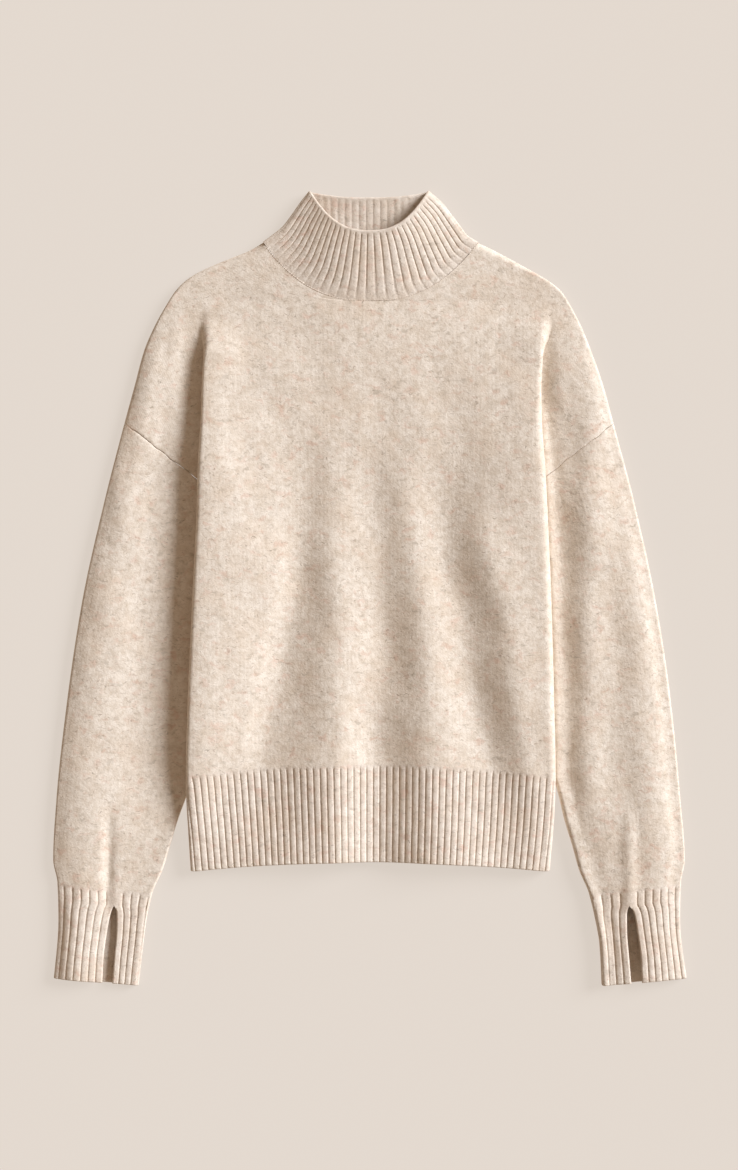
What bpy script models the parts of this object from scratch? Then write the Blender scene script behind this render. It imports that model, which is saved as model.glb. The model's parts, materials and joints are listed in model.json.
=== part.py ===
"""A mock neck sweater of felted wool, lying flat on its back, front side up.

The body is tucked under itself at both sides, and the tucks run up into a pleat below each
shoulder, so that the sleeves lie straight down beside the body. The file works in millimetres
and writes metres. +X is to the wearer's left, +Y runs from the hem to the collar and +Z is up
from the table. Every piece is a wall of even thickness round a middle surface, and each middle
surface is worked out from the tables below.
"""

import math

import bmesh
import bpy
import numpy as np

# ---------------------------------------------------------------- driving dimensions, millimetres

WALL = 2.2  # thickness of the felted knit
GAP = 0.3  # between two pieces along the seam that joins them
PLY = 2.6  # middle of one ply to the middle of the next, where plies lie pressed together
TABLE = WALL / 2  # height of the middle of a ply that lies on the table
CORE = 9.6  # height of the middle of the front over the centre of the body
HEM_CORE = 10.0  # the same at the bottom edge of the hem

NECK_LINE = 265.0  # y of the lowest point of the front neck seam
UNDERARM = 39.6  # y where the armhole seam ends, hidden under the body
HEM_LINE = -170.5  # y where the hem rib starts, at the sides
HEM_EDGE = -259.5  # y of the bottom edge of the hem, at the sides
BACK_SHORTER = 1.5  # the back's hem ends this much above the front's
FULL_ROLL = 206.0  # y below which the side of the body is rolled right under
PRESS = 2.0  # how far inside the edge of the body a sleeve starts to rise

SIGN = (-1.0, 1.0)  # the wearer's right side lies at -X, the left one at +X
SIDE_NAMES = ("right", "left")

# Silhouette from the neck down the shoulder, the sleeve and the cuff: y, right reach, left reach.
OUTLINE = (
    (318.5, 99.0, 101.0),
    (312.0, 110.0, 114.5),
    (304.5, 128.0, 128.5),
    (297.0, 146.0, 142.0),
    (288.0, 163.5, 158.0),
    (275.0, 178.0, 175.5),
    (260.0, 188.0, 185.5),
    (242.0, 198.0, 195.0),
    (220.0, 207.5, 204.0),
    (187.0, 216.5, 215.5),
    (152.0, 226.0, 225.0),
    (82.0, 244.0, 243.5),
    (-10.0, 264.5, 263.5),
    (-102.0, 278.5, 277.5),
    (-194.0, 288.5, 286.5),
    (-249.0, 291.5, 290.5),
    (-270.5, 287.5, 287.0),
    (-304.5, 286.5, 286.0),
    (-366.0, 291.5, 293.0),
)

# Side edge of the body, where it rolls under: y, right reach, left reach.
BODY_EDGE = (
    (265.0, 150.0, 163.0),
    (242.0, 151.0, 162.0),
    (224.0, 152.0, 160.5),
    (206.0, 153.0, 159.0),
    (186.0, 154.0, 158.0),
    (155.0, 155.0, 158.5),
    (110.0, 157.5, 161.5),
    (73.0, 158.5, 163.5),
    (-10.0, 162.5, 167.0),
    (-102.0, 166.5, 169.5),
    (-171.0, 168.5, 171.0),
    (-194.0, 168.0, 170.5),
    (-222.0, 166.5, 169.0),
    (-259.5, 164.5, 166.0),
)

# The roll at the side: y, angle turned in degrees, cloth in the two bends, lower bend's share.
ROLL = (
    (265.0, 0.01, 12.0, 0.50),
    (250.0, 12.0, 13.0, 0.45),
    (238.0, 45.0, 13.5, 0.38),
    (226.0, 95.0, 14.0, 0.33),
    (216.0, 140.0, 14.6, 0.28),
    (206.0, 180.0, 19.2, 0.2950),
    (160.0, 180.0, 25.0, 0.1760),
    (110.0, 180.0, 31.1, 0.1414),
    (-150.0, 180.0, 31.1, 0.1414),
    (-259.5, 180.0, 26.0, 0.1700),
)

# Depth of the tuck under the body: y, right, left.
TUCK = (
    (226.0, 0.0, 0.0),
    (216.0, 1.5, 1.5),
    (206.0, 5.0, 5.0),
    (120.0, 39.0, 41.0),
    (39.6, 73.0, 76.0),
    (-259.5, 73.0, 76.0),
)

# Height of the tucked ply below the underarm: y, height of its middle.
TUCK_HEIGHT = (
    (39.6, 6.5),
    (-172.0, 6.5),
    (-259.5, 1.1),
)

# How far the courses of the hem arch up over the middle of the body: y, rise.
HEM_ARCH = (
    (39.6, 0.0),
    (-60.0, 5.0),
    (-170.5, 9.5),
    (-259.5, 8.5),
)

# Inner edge of the sleeve and cuff: y, right reach, left reach.
SLEEVE_INNER = (
    (39.6, 77.5, 79.5),
    (-60.0, 117.0, 121.0),
    (-182.0, 165.0, 172.0),
    (-212.5, 176.5, 179.5),
    (-235.5, 183.5, 186.5),
    (-258.5, 190.5, 193.0),
    (-280.0, 200.0, 202.0),
    (-304.5, 205.5, 208.0),
    (-327.5, 208.5, 212.0),
    (-366.0, 213.0, 214.0),
)

# The two plies on the table: y, radius of the outer edge, inner height, extra height in the middle.
LOFT = (
    (318.5, 3.2, 8.0, 0.0),
    (265.0, 3.2, 8.2, 0.0),
    (240.0, 3.2, 7.0, 1.5),
    (206.0, 3.3, 4.1, 4.0),
    (152.0, 3.6, 3.7, 5.0),
    (0.0, 4.0, 3.7, 6.0),
    (-172.0, 4.0, 3.7, 6.0),
    (-206.0, 3.8, 5.0, 6.0),
    (-240.0, 3.5, 6.5, 5.0),
    (-274.0, 2.8, 6.4, 4.2),
    (-310.0, 2.6, 6.3, 3.8),
    (-366.0, 2.6, 6.3, 3.6),
)

# A row of the pleat below the shoulder runs from the body (y) to the silhouette (y there).
ROW_ENDS = (
    (39.6, 152.0),
    (206.0, 235.0),
    (265.0, 262.0),
)
SHOULDER_CORNER = 284.0  # y on the silhouette where the top row of the shoulder ends
BACK_CLIMB = 0.35  # share of the shoulder's rows that the back has below its own neck seam

# Rows of the sleeve and cuff run from the silhouette (y) to the inner edge (y there).
ARM_ROWS = (
    (152.0, 39.6),
    (-271.0, -280.0),
    (-358.5, -365.0),
)
CUFF_LINE = -271.0  # y on the silhouette where the cuff starts
CUFF_EDGE = -358.5  # y on the silhouette where it ends

# Slit in the upper side of the cuff: y, right outer side, right inner, left outer, left inner.
SLIT = (
    (-291.0, 234.8, 234.8, 238.7, 238.7),
    (-297.0, 238.0, 232.6, 243.0, 236.4),
    (-312.0, 241.0, 232.9, 245.6, 236.6),
    (-340.0, 244.7, 235.2, 249.3, 238.7),
    (-366.0, 246.0, 237.0, 250.6, 241.0),
)

# Collar: y, right reach, left reach of its side edges, from the shoulder to the corners of the rim.
COLLAR_EDGE = (
    (318.5, 99.0, 101.0),
    (324.0, 91.5, 91.5),
    (333.0, 80.5, 84.2),
    (342.5, 73.0, 77.0),
    (354.0, 65.0, 68.0),
    (366.0, 55.5, 54.5),
)
COLLAR_TOP = 366.0  # y of the corners of the rim
SEAM_DIP_FRONT = 318.5 - NECK_LINE  # how far the neck seam swings down at the middle of the front
SEAM_DIP_BACK = 20.0
RIM_DIP_FRONT = 37.5
RIM_DIP_BACK = 5.5
DIP_POWER = 2.5  # higher is squarer
MIDDLE = (0.2, 0.8, 0.0)  # middle of the box round the sweater, where the origin is put
NECK_HEIGHT = 12.0  # middle of the front's wall at the lowest point of the neck seam
RIM_RISE = 14.0  # how much higher the front of the rim stands

# Largest folds of the front, pressed down between its ridges:
# x and y of the upper end, x and y of the lower end, half width, depth.
BODY_FOLDS = (
    (-52.0, 90.0, -64.0, -260.0, 17.0, 3.4),
    (34.0, 60.0, 34.0, -260.0, 15.0, 2.6),
    (92.0, 110.0, 138.0, -180.0, 20.0, 3.0),
)

# Largest folds of the shoulders and sleeves, with the same columns.
SLEEVE_FOLDS = (
    (-184.0, 236.0, -186.0, 20.0, 11.0, 2.4),
    (189.0, 236.0, 188.0, -150.0, 11.0, 3.0),
    (228.0, 60.0, 246.0, -250.0, 13.0, 2.4),
    (-238.0, -170.0, -239.0, -285.0, 8.0, 2.2),
)

# Rows and columns of the facets: finer where the cloth turns. The column where a sleeve comes
# out from under the body is at these shares of its row.
PLEAT_PRESSED = 0.3
ARM_PRESSED = 0.6
HEM_ROWS = (HEM_EDGE, -230.0, -200.0, HEM_LINE)
LOW_ROWS = (HEM_LINE, -110.0, -40.0, UNDERARM)
PLEAT_ROWS = (UNDERARM, 85.0, 130.0, 170.0, 206.0, 216.0, 226.0, 238.0, 250.0, NECK_LINE)
SHOULDER_ROWS = (0.0, 0.18, 0.35, 0.54, 0.74, 0.9, 0.975, 1.0)
TOP_COLUMNS = (0.0, 0.14, 0.28, 0.42, 0.56, 0.70, 0.84, 1.0)
ROLL_COLUMNS = (1.0, 1.25, 1.5, 1.75, 2.0, 3.0)
PLEAT_COLUMNS = (3.0, 3.5, 4.0, 4.0 + PLEAT_PRESSED, 4.6, 4.85, 4.96, 4.985, 5.0)
ARM_COLUMNS = (0.0, 0.01, 0.035, 0.13, 0.28, 0.45, ARM_PRESSED, 0.8, 0.965, 0.99, 1.0)
SLEEVE_ROWS = (0.0, 0.1, 0.2, 0.32, 0.45, 0.58, 0.7, 0.8, 0.88, 0.95, 1.0)
CUFF_ROWS = (0.0, 0.17, 0.26, 0.48, 0.74, 1.0)
COLLAR_ROWS = (0.0, 0.25, 0.5, 0.75, 1.0)

OATMEAL = (0.63, 0.54, 0.44)
OATMEAL_RIB = (0.66, 0.57, 0.48)
ROUGHNESS = 0.95


# ---------------------------------------------------------------- curves through the tables


def curve(table, column):
    """A smooth curve through one column of a table against its first column, with no overshoot."""
    rows = sorted((row[0], row[column]) for row in table)
    at = np.array([row[0] for row in rows])
    value = np.array([row[1] for row in rows])
    step = np.diff(at)
    slope = np.diff(value) / step
    tangent = np.zeros(len(at))
    tangent[0] = slope[0]
    tangent[-1] = slope[-1]
    for i in range(1, len(at) - 1):
        if slope[i - 1] * slope[i] > 0.0:
            tangent[i] = 2.0 * slope[i - 1] * slope[i] / (slope[i - 1] + slope[i])

    def value_at(x):
        x = np.clip(x, at[0], at[-1])
        i = np.clip(np.searchsorted(at, x) - 1, 0, len(step) - 1)
        t = (x - at[i]) / step[i]
        rest = 1.0 - t
        ends = value[i] * rest * rest * (1.0 + 2.0 * t) + value[i + 1] * t * t * (3.0 - 2.0 * t)
        return ends + step[i] * t * rest * (tangent[i] * rest - tangent[i + 1] * t)

    return value_at


def both_sides(table, first=1):
    return curve(table, first), curve(table, first + 1)


reach_of = both_sides(OUTLINE)
edge_of = both_sides(BODY_EDGE)
tuck_of = both_sides(TUCK)
inner_of = both_sides(SLEEVE_INNER)
collar_of = both_sides(COLLAR_EDGE)
slit_outer_of = curve(SLIT, 1), curve(SLIT, 3)
slit_inner_of = curve(SLIT, 2), curve(SLIT, 4)
turn_at, bend_at, share_at = (curve(ROLL, column) for column in (1, 2, 3))
rim_at, inner_height_at, puff_at = (curve(LOFT, column) for column in (1, 2, 3))
tuck_height_at = curve(TUCK_HEIGHT, 1)
hem_arch_at = curve(HEM_ARCH, 1)
row_end_at = curve(ROW_ENDS, 1)
arm_inner_y = curve(ARM_ROWS, 1)
core_at = curve(((HEM_EDGE, HEM_CORE), (-100.0, CORE), (200.0, CORE), (NECK_LINE, NECK_HEIGHT)), 1)


def smooth(t):
    t = np.clip(t, 0.0, 1.0)
    return t * t * (3.0 - 2.0 * t)


def mix(a, b, t):
    return a + (b - a) * t


def tilt_of(reach, y):
    """Cosine of the angle between the x axis and the outward normal of a silhouette."""
    slope = (reach(y + 0.5) - reach(y - 0.5)) / 1.0
    return 1.0 / np.sqrt(1.0 + slope * slope)


def bent(t, knee, value):
    """0 to 1 in two straight parts, that meet at the value given for the knee."""
    return np.where(t < knee, value * t / knee, value + (1.0 - value) * (t - knee) / (1.0 - knee))


def fold_depth(folds, x, y):
    """How far the folds of a table press the cloth down at a place."""
    depth = np.zeros(np.shape(x))
    for x_top, y_top, x_low, y_low, half_width, deepest in folds:
        along = (y_top - y) / (y_top - y_low)
        away = (x - mix(x_top, x_low, along)) / half_width
        fade = smooth(along / 0.35) * smooth((1.25 - along) / 0.25)
        depth = np.maximum(depth, deepest * fade * np.exp(-away * away))
    return depth


def pinch(under, upper, distance, part):
    """Two plies that meet along an edge in a half round. distance is how far inside the edge it is."""
    radius = np.maximum((upper - under) / 2.0, 1e-6)
    middle = (upper + under) / 2.0
    rest = 1.0 - np.clip(distance / radius, 0.0, 1.0)
    round_off = np.sqrt(1.0 - rest * rest)
    spread = part / 2.0 + (radius - part / 2.0) * round_off
    return middle - spread, middle + spread


# ---------------------------------------------------------------- plies that lie on the table


def upper_ply(side, out, y):
    """Height of the upper of the two plies on the table, before its edge is rounded."""
    reach = reach_of[side](y) - WALL / 2.0 / tilt_of(reach_of[side], y)
    pressed = np.maximum(edge_of[side](y) - PRESS, inner_of[side](y))
    across = np.clip((reach - out) / (reach - pressed), 0.0, 1.0)
    rise = puff_at(y) * 4.0 * across * (1.0 - across)
    height = mix(TABLE + 2.0 * rim_at(y), inner_height_at(y), smooth(across)) + rise
    free = smooth(across / 0.12) * smooth((1.0 - across) / 0.2) * smooth(rise / 2.0)
    return height - free * fold_depth(SLEEVE_FOLDS, SIGN[side] * out, y)


def table_plies(side, out, y, part=GAP):
    """Heights of the under and the upper ply on the table, rounded together at the silhouette."""
    tilt = tilt_of(reach_of[side], y)
    inside = (reach_of[side](y) - out) * tilt - WALL / 2.0
    under = np.full(np.shape(out), TABLE)
    return pinch(under, upper_ply(side, out, y), np.maximum(inside, 0.0), part)


# ---------------------------------------------------------------- body


def top_rise(t):
    """From 0 at the centre of the body to 1 where its side starts to roll under."""
    return smooth(np.clip(t, 0.0, 1.0) ** 0.85)


def roll_start(side, y):
    """Reach where the side of the body starts to roll: one bend radius inside its edge."""
    full = np.minimum(y, FULL_ROLL)
    return edge_of[side](y) - WALL / 2.0 - bend_at(full) * (1.0 - share_at(full)) / math.pi


def roll(side, y, c):
    """Run out and drop of the rolled cloth from its start, and its angle. c is 1 to 4."""
    turn = np.radians(turn_at(y))
    bend = bend_at(y)
    radius_nose = bend * (1.0 - share_at(y)) / turn
    radius_inner = bend * share_at(y) / turn
    depth = tuck_of[side](y)
    angle = turn * (np.clip(c - 1.0, 0.0, 1.0) - np.clip(c - 3.0, 0.0, 1.0))
    straight = depth * np.clip(c - 2.0, 0.0, 1.0)
    nose = turn * np.clip(c - 1.0, 0.0, 1.0)
    out = radius_nose * np.sin(nose) + straight * np.cos(turn)
    drop = radius_nose * (1.0 - np.cos(nose)) + straight * np.sin(turn)
    past = np.where(c > 3.0, 1.0, 0.0)
    out = out + past * radius_inner * (np.sin(turn) - np.sin(angle))
    drop = drop + past * radius_inner * (np.cos(angle) - np.cos(turn))
    return out, drop, angle


def low_height(side, y):
    """Height of the front's ply at the end of the roll."""
    out, drop, _ = roll(side, y, np.full(np.shape(y), 4.0))
    _, upper = table_plies(side, roll_start(side, y) + out, y)
    radius_inner = bend_at(y) * share_at(y) / math.pi
    return np.where(y < UNDERARM, tuck_height_at(y) - 2.0 * radius_inner, upper)


def body_point(side, is_back, y, c):
    """A point of the front or back below the neck line.

    c runs across the half: 0 to 1 from the centre to the roll, 1 to 2 round the nose of the roll,
    2 to 3 back under the body, 3 to 4 round the second bend and 4 to 5 out to the silhouette or
    to the armhole seam.
    """
    start = roll_start(side, y)
    low = low_height(side, y)
    end_out, end_drop, _ = roll(side, y, np.full(np.shape(y), 4.0))
    start_height = low + end_drop
    end = start + end_out

    t = np.clip(c, 0.0, 1.0)
    out_top = start * t
    last_ply = np.where(y < UNDERARM, PLY, low - TABLE)
    first_ply = mix(last_ply, PLY, smooth(turn_at(y) / 90.0))
    ply = mix(first_ply, last_ply, np.clip((c - 1.0) / 3.0, 0.0, 1.0))
    front_top = mix(core_at(y), start_height, top_rise(t))
    front_top = front_top - fold_depth(BODY_FOLDS, SIGN[side] * out_top, y) * smooth((1.0 - t) / 0.2)
    back_top = mix(TABLE, start_height - first_ply, top_rise(t))
    back_top = np.minimum(back_top, front_top - PLY)
    height_top = back_top if is_back else front_top

    out_roll, drop, angle = roll(side, y, np.clip(c, 1.0, 4.0))
    spare = 0.5 * np.sin(angle) ** 3 * np.where(c > 3.0, 1.0, 0.0)
    under = ply + spare if is_back else 0.0
    out_rolled = start + out_roll - under * np.sin(angle)
    out_upper = np.where(c <= 1.0, out_top, out_rolled)
    y_upper = y + hem_arch_at(y) * (1.0 - np.clip(out_upper / start, 0.0, 1.0) ** 2)
    height_rolled = start_height - drop - under * np.cos(angle)

    y_end = row_end_at(y)
    reach = reach_of[side](y_end) - WALL / 2.0 / tilt_of(reach_of[side], y_end)
    pressed = np.clip((edge_of[side](y) - PRESS - end) / (reach - end), 0.15, 0.9)
    f = bent(np.clip(c - 4.0, 0.0, 1.0), PLEAT_PRESSED, pressed)
    out_low = mix(end, reach, f)
    y_low = mix(y, y_end, f)
    plies = table_plies(side, out_low, y_low)
    height_low = plies[0] if is_back else plies[1]

    out = np.where(c <= 4.0, out_upper, out_low)
    along = np.where(c <= 4.0, y_upper, y_low)
    height = np.select([c <= 1.0, c <= 4.0], [height_top, height_rolled], height_low)
    return np.stack([SIGN[side] * out, along, height], axis=-1)


def neck_seam(side, across, dip):
    """Plan of the neck seam: across is 0 at the centre and 1 at the shoulder."""
    out = (collar_of[side](318.5) - WALL / 2.0) * across
    return out, 318.5 - dip * (1.0 - np.clip(across, 0.0, 1.0) ** DIP_POWER)


def shoulder_height(side, is_back, out, y):
    """Height of the front or back over the shoulders, above the neck line."""
    centre = core_at(NECK_LINE) - upper_ply(side, roll_start(side, NECK_LINE), NECK_LINE)
    reach = roll_start(side, np.array(NECK_LINE))
    swell = centre * (1.0 - top_rise(out / reach))
    inside = (reach_of[side](y) - out) * tilt_of(reach_of[side], y) - WALL / 2.0
    under = np.full(np.shape(out), TABLE)
    upper = upper_ply(side, out, y) + swell
    past_neck = out - collar_of[side](318.5) + WALL / 2.0
    part = GAP + PLY * smooth((y - 312.0) / 5.0) * smooth(1.0 - past_neck / 3.0)
    return pinch(under, upper, np.maximum(inside, 0.0), part)[0 if is_back else 1]


def shoulder_point(side, is_back, r, c):
    """A point of the front or back above the neck line.

    r is 0 along the neck line and 1 along the silhouette of the shoulder. The four sides of this
    patch are blended in plan, and its height is worked out at each place.
    """
    neck_line = np.full(np.shape(r), NECK_LINE)
    row = body_point(side, is_back, neck_line, c)
    reach = body_point(side, is_back, neck_line, np.full(np.shape(c), 5.0))[..., 0]
    f = row[..., 0] / reach
    low = np.stack([SIGN[side] * row[..., 0], row[..., 1]], axis=-1)

    def silhouette(y):
        out = reach_of[side](y) - WALL / 2.0 / tilt_of(reach_of[side], y)
        return np.stack([out, y], axis=-1)

    def neck(r):
        if is_back:
            across = np.clip((r - BACK_CLIMB) / (1.0 - BACK_CLIMB), 0.0, 1.0)
            out, y = neck_seam(side, across, SEAM_DIP_BACK)
            climb = mix(NECK_LINE, 318.5 - SEAM_DIP_BACK, np.clip(r / BACK_CLIMB, 0.0, 1.0))
            return np.stack([out, np.where(r < BACK_CLIMB, climb, y)], axis=-1)
        return np.stack(neck_seam(side, r, SEAM_DIP_FRONT), axis=-1)

    top = silhouette(mix(318.5, SHOULDER_CORNER, f ** 1.3))
    top[..., 0] = mix(top[..., 0], neck(np.ones(np.shape(r)))[..., 0], np.maximum(1.0 - f * 40.0, 0.0))
    outer = silhouette(mix(row_end_at(NECK_LINE), SHOULDER_CORNER, r))
    inner = neck(r)
    r2, f2 = r[..., None], f[..., None]
    corner = {}
    for name, place in (("low", 0.0), ("top", 1.0)):
        corner[name + "_in"] = neck(np.full(np.shape(r), place))
        y = mix(row_end_at(NECK_LINE), SHOULDER_CORNER, np.full(np.shape(r), place))
        corner[name + "_out"] = silhouette(y)
    blend = mix(low, top, r2) + mix(inner, outer, f2)
    blend = blend - mix(mix(corner["low_in"], corner["low_out"], f2),
                        mix(corner["top_in"], corner["top_out"], f2), r2)
    out, y = blend[..., 0], blend[..., 1]
    height = shoulder_height(side, is_back, out, y)
    step = row[..., 2] - shoulder_height(side, is_back, low[..., 0], low[..., 1])
    height = height + step * (1.0 - r) ** 2
    return np.stack([SIGN[side] * out, y, height], axis=-1)


# ---------------------------------------------------------------- sleeves and cuffs


def arm_point(side, y_outer, a, start=0.0, stop=1.0):
    """A point of the sleeve or cuff tube.

    a is 0 at the silhouette, runs over the upper side to the inner edge at 1 and back along the
    table to 2. start and stop shorten the upper side's way across the row.
    """
    y_inner = arm_inner_y(y_outer)
    reach = reach_of[side](y_outer) - WALL / 2.0 / tilt_of(reach_of[side], y_outer)
    inner = inner_of[side](y_inner) + WALL / 2.0 / tilt_of(inner_of[side], y_inner)
    over = a <= 1.0
    y_body = mix(y_outer, y_inner, 0.5)
    pressed = np.maximum((reach - edge_of[side](y_body) + PRESS) / (reach - inner), 0.3)
    pressed = mix(np.minimum(pressed, 0.92), ARM_PRESSED, smooth((pressed - 0.92) / 0.4))
    f = bent(np.where(over, mix(start, stop, a), 2.0 - a), ARM_PRESSED, pressed)
    out = mix(reach, inner, f)
    y = mix(y_outer, y_inner, f)
    under, upper = table_plies(side, out, y, 0.0)
    tilt = tilt_of(inner_of[side], y)
    inside = (out - inner_of[side](y)) * tilt - WALL / 2.0
    under, upper = pinch(under, upper, np.maximum(inside, 0.0), 0.0)
    return np.stack([SIGN[side] * out, y, np.where(over, upper, under)], axis=-1)


# ---------------------------------------------------------------- collar


def collar_point(r, a):
    """A point of the collar tube: r is 0 at the neck seam and 1 at the rim.

    a is 0 at the right side edge, runs over the front to the left one at 1 and back under to 2.
    """
    y_edge = mix(318.5, COLLAR_TOP, r)
    right = collar_of[0](y_edge) - WALL / 2.0
    left = collar_of[1](y_edge) - WALL / 2.0
    over = a <= 1.0
    across = 2.0 * np.where(over, a, 2.0 - a) - 1.0
    x = across * np.where(across < 0.0, right, left)
    dip = np.where(over, mix(SEAM_DIP_FRONT, RIM_DIP_FRONT, r), mix(SEAM_DIP_BACK, RIM_DIP_BACK, r))
    y = y_edge - dip * (1.0 - np.abs(across) ** DIP_POWER)
    seam = 1.0 - top_rise(np.abs(x) / roll_start(0, np.array(NECK_LINE)))
    base = TABLE + 2.0 * rim_at(NECK_LINE)
    upper = base + (NECK_HEIGHT - base) * seam + RIM_RISE * r * (1.0 - np.abs(across) ** 2.2)
    inside = np.minimum(x + right, left - x) * 0.75
    under = np.full(np.shape(x), TABLE)
    under, upper = pinch(under, upper, np.maximum(inside, 0.0), 0.0)
    return np.stack([x, y, np.where(over, upper, under)], axis=-1)


# ---------------------------------------------------------------- from middle surfaces to solids


def patch(point, rows, columns, row_step=0.02, column_step=1e-5, closed=False):
    """A grid of points on a middle surface, with the normal at each of them.

    point takes arrays of row and column values. At the ends of the rows and columns the steps
    that find the normals stay inside the patch. The columns of a closed tube run from 0 to 2.
    """
    r, c = np.meshgrid(np.array(rows, float), np.array(columns, float), indexing="ij")
    r_low, r_high = r.min(), r.max()
    c_low, c_high = c.min(), c.max()
    places = point(r, c)
    along = point(np.minimum(r + row_step, r_high), c) - point(np.maximum(r - row_step, r_low), c)
    if closed:
        ahead, behind = (c + column_step) % 2.0, (c - column_step) % 2.0
    else:
        ahead, behind = np.minimum(c + column_step, c_high), np.maximum(c - column_step, c_low)
    across = point(r, ahead) - point(r, behind)
    normals = np.cross(across, along)
    lengths = np.linalg.norm(normals, axis=-1, keepdims=True)
    return places, normals / np.maximum(lengths, 1e-12)


def shell(name, patches, colour, flip):
    """One closed wall round the middle surfaces of several patches that share their edges."""
    index = {}
    places, normals, faces = [], [], []
    for (grid, normal), turned in zip(patches, flip):
        names = np.zeros(grid.shape[:2], int)
        for i in range(grid.shape[0]):
            for j in range(grid.shape[1]):
                key = tuple(np.round(grid[i, j], 3))
                if key not in index:
                    index[key] = len(places)
                    places.append(grid[i, j])
                    normals.append(np.zeros(3))
                names[i, j] = index[key]
                normals[names[i, j]] += -normal[i, j] if turned else normal[i, j]
        for i in range(grid.shape[0] - 1):
            for j in range(grid.shape[1] - 1):
                ring = [names[i, j], names[i, j + 1], names[i + 1, j + 1], names[i + 1, j]]
                for ring in ((ring[0], ring[1], ring[2]), (ring[0], ring[2], ring[3])):
                    if len(set(ring)) == 3:
                        faces.append(ring[::-1] if turned else ring)

    count = len(places)
    places = np.array(places)
    normals = np.array(normals)
    normals = normals / np.linalg.norm(normals, axis=1, keepdims=True)
    outer = places + normals * WALL / 2.0
    inner = places - normals * WALL / 2.0

    edges = {}
    for ring in faces:
        for a, b in zip(ring, ring[1:] + ring[:1]):
            edges[a, b] = edges.get((a, b), 0) + 1
    rim = [(a, b) for a, b in edges if (b, a) not in edges]

    solid = list(faces)
    solid += [tuple(v + count for v in reversed(ring)) for ring in faces]
    solid += [(b, a, a + count, b + count) for a, b in rim]

    mesh = bpy.data.meshes.new(name)
    mesh.from_pydata(((np.vstack([outer, inner]) - MIDDLE) * 0.001).tolist(), [], solid)
    model = bmesh.new()
    model.from_mesh(mesh)
    if model.calc_volume(signed=True) < 0.0:
        bmesh.ops.reverse_faces(model, faces=model.faces)
    model.to_mesh(mesh)
    model.free()
    mesh.shade_smooth()
    mesh.set_sharp_from_angle(angle=math.radians(50.0))
    obj = bpy.data.objects.new(name, mesh)
    bpy.context.scene.collection.objects.link(obj)
    mesh.materials.append(wool(name + "_wool", colour))
    return obj


def wool(name, colour):
    material = bpy.data.materials.new(name)
    material.use_nodes = True
    shader = material.node_tree.nodes["Principled BSDF"]
    shader.inputs["Base Color"].default_value = (*colour, 1.0)
    shader.inputs["Roughness"].default_value = ROUGHNESS
    shader.inputs["Metallic"].default_value = 0.0
    shader.inputs["Sheen Weight"].default_value = 0.3
    return material


# ---------------------------------------------------------------- the pieces


def shifted(rows, first=0.0, last=0.0):
    """The same rows with the first and last one moved, to leave a seam's gap."""
    return (rows[0] + first, *rows[1:-1], rows[-1] + last)


def make_panel(name, is_back):
    patches, flip = [], []
    low_rows = shifted(LOW_ROWS, first=GAP)
    for side in (0, 1):
        def below(y, c, side=side):
            return body_point(side, is_back, y, c)

        def above(r, c, side=side):
            return shoulder_point(side, is_back, r, c)

        core = TOP_COLUMNS[:-1] + ROLL_COLUMNS
        patches.append(patch(below, low_rows[:-1] + PLEAT_ROWS, core))
        patches.append(patch(below, PLEAT_ROWS, PLEAT_COLUMNS))
        patches.append(patch(above, SHOULDER_ROWS, core[:-1] + PLEAT_COLUMNS, row_step=1e-4))
        flip += [side == 0] * 3
    return shell(name, patches, OATMEAL, flip)


def make_hem(name, is_back):
    patches, flip = [], []
    rows = shifted(HEM_ROWS, first=BACK_SHORTER if is_back else 0.0)
    for side in (0, 1):
        def below(y, c, side=side):
            return body_point(side, is_back, y, c)

        patches.append(patch(below, rows, TOP_COLUMNS[:-1] + ROLL_COLUMNS))
        flip.append(side == 0)
    return shell(name, patches, OATMEAL_RIB, flip)


def ring_columns(half):
    """Columns of a closed tube from the columns of its upper side."""
    return half + tuple(2.0 - c for c in reversed(half[:-1]))


def make_sleeve(side):
    seam, cuff = 152.0 - GAP * 2.2, CUFF_LINE

    def tube(v, a):
        return arm_point(side, mix(seam, cuff, v), a)

    grid = patch(tube, SLEEVE_ROWS, ring_columns(ARM_COLUMNS), row_step=1e-4, closed=True)
    return shell("sleeve_" + SIDE_NAMES[side], [grid], OATMEAL, [side == 1])


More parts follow.
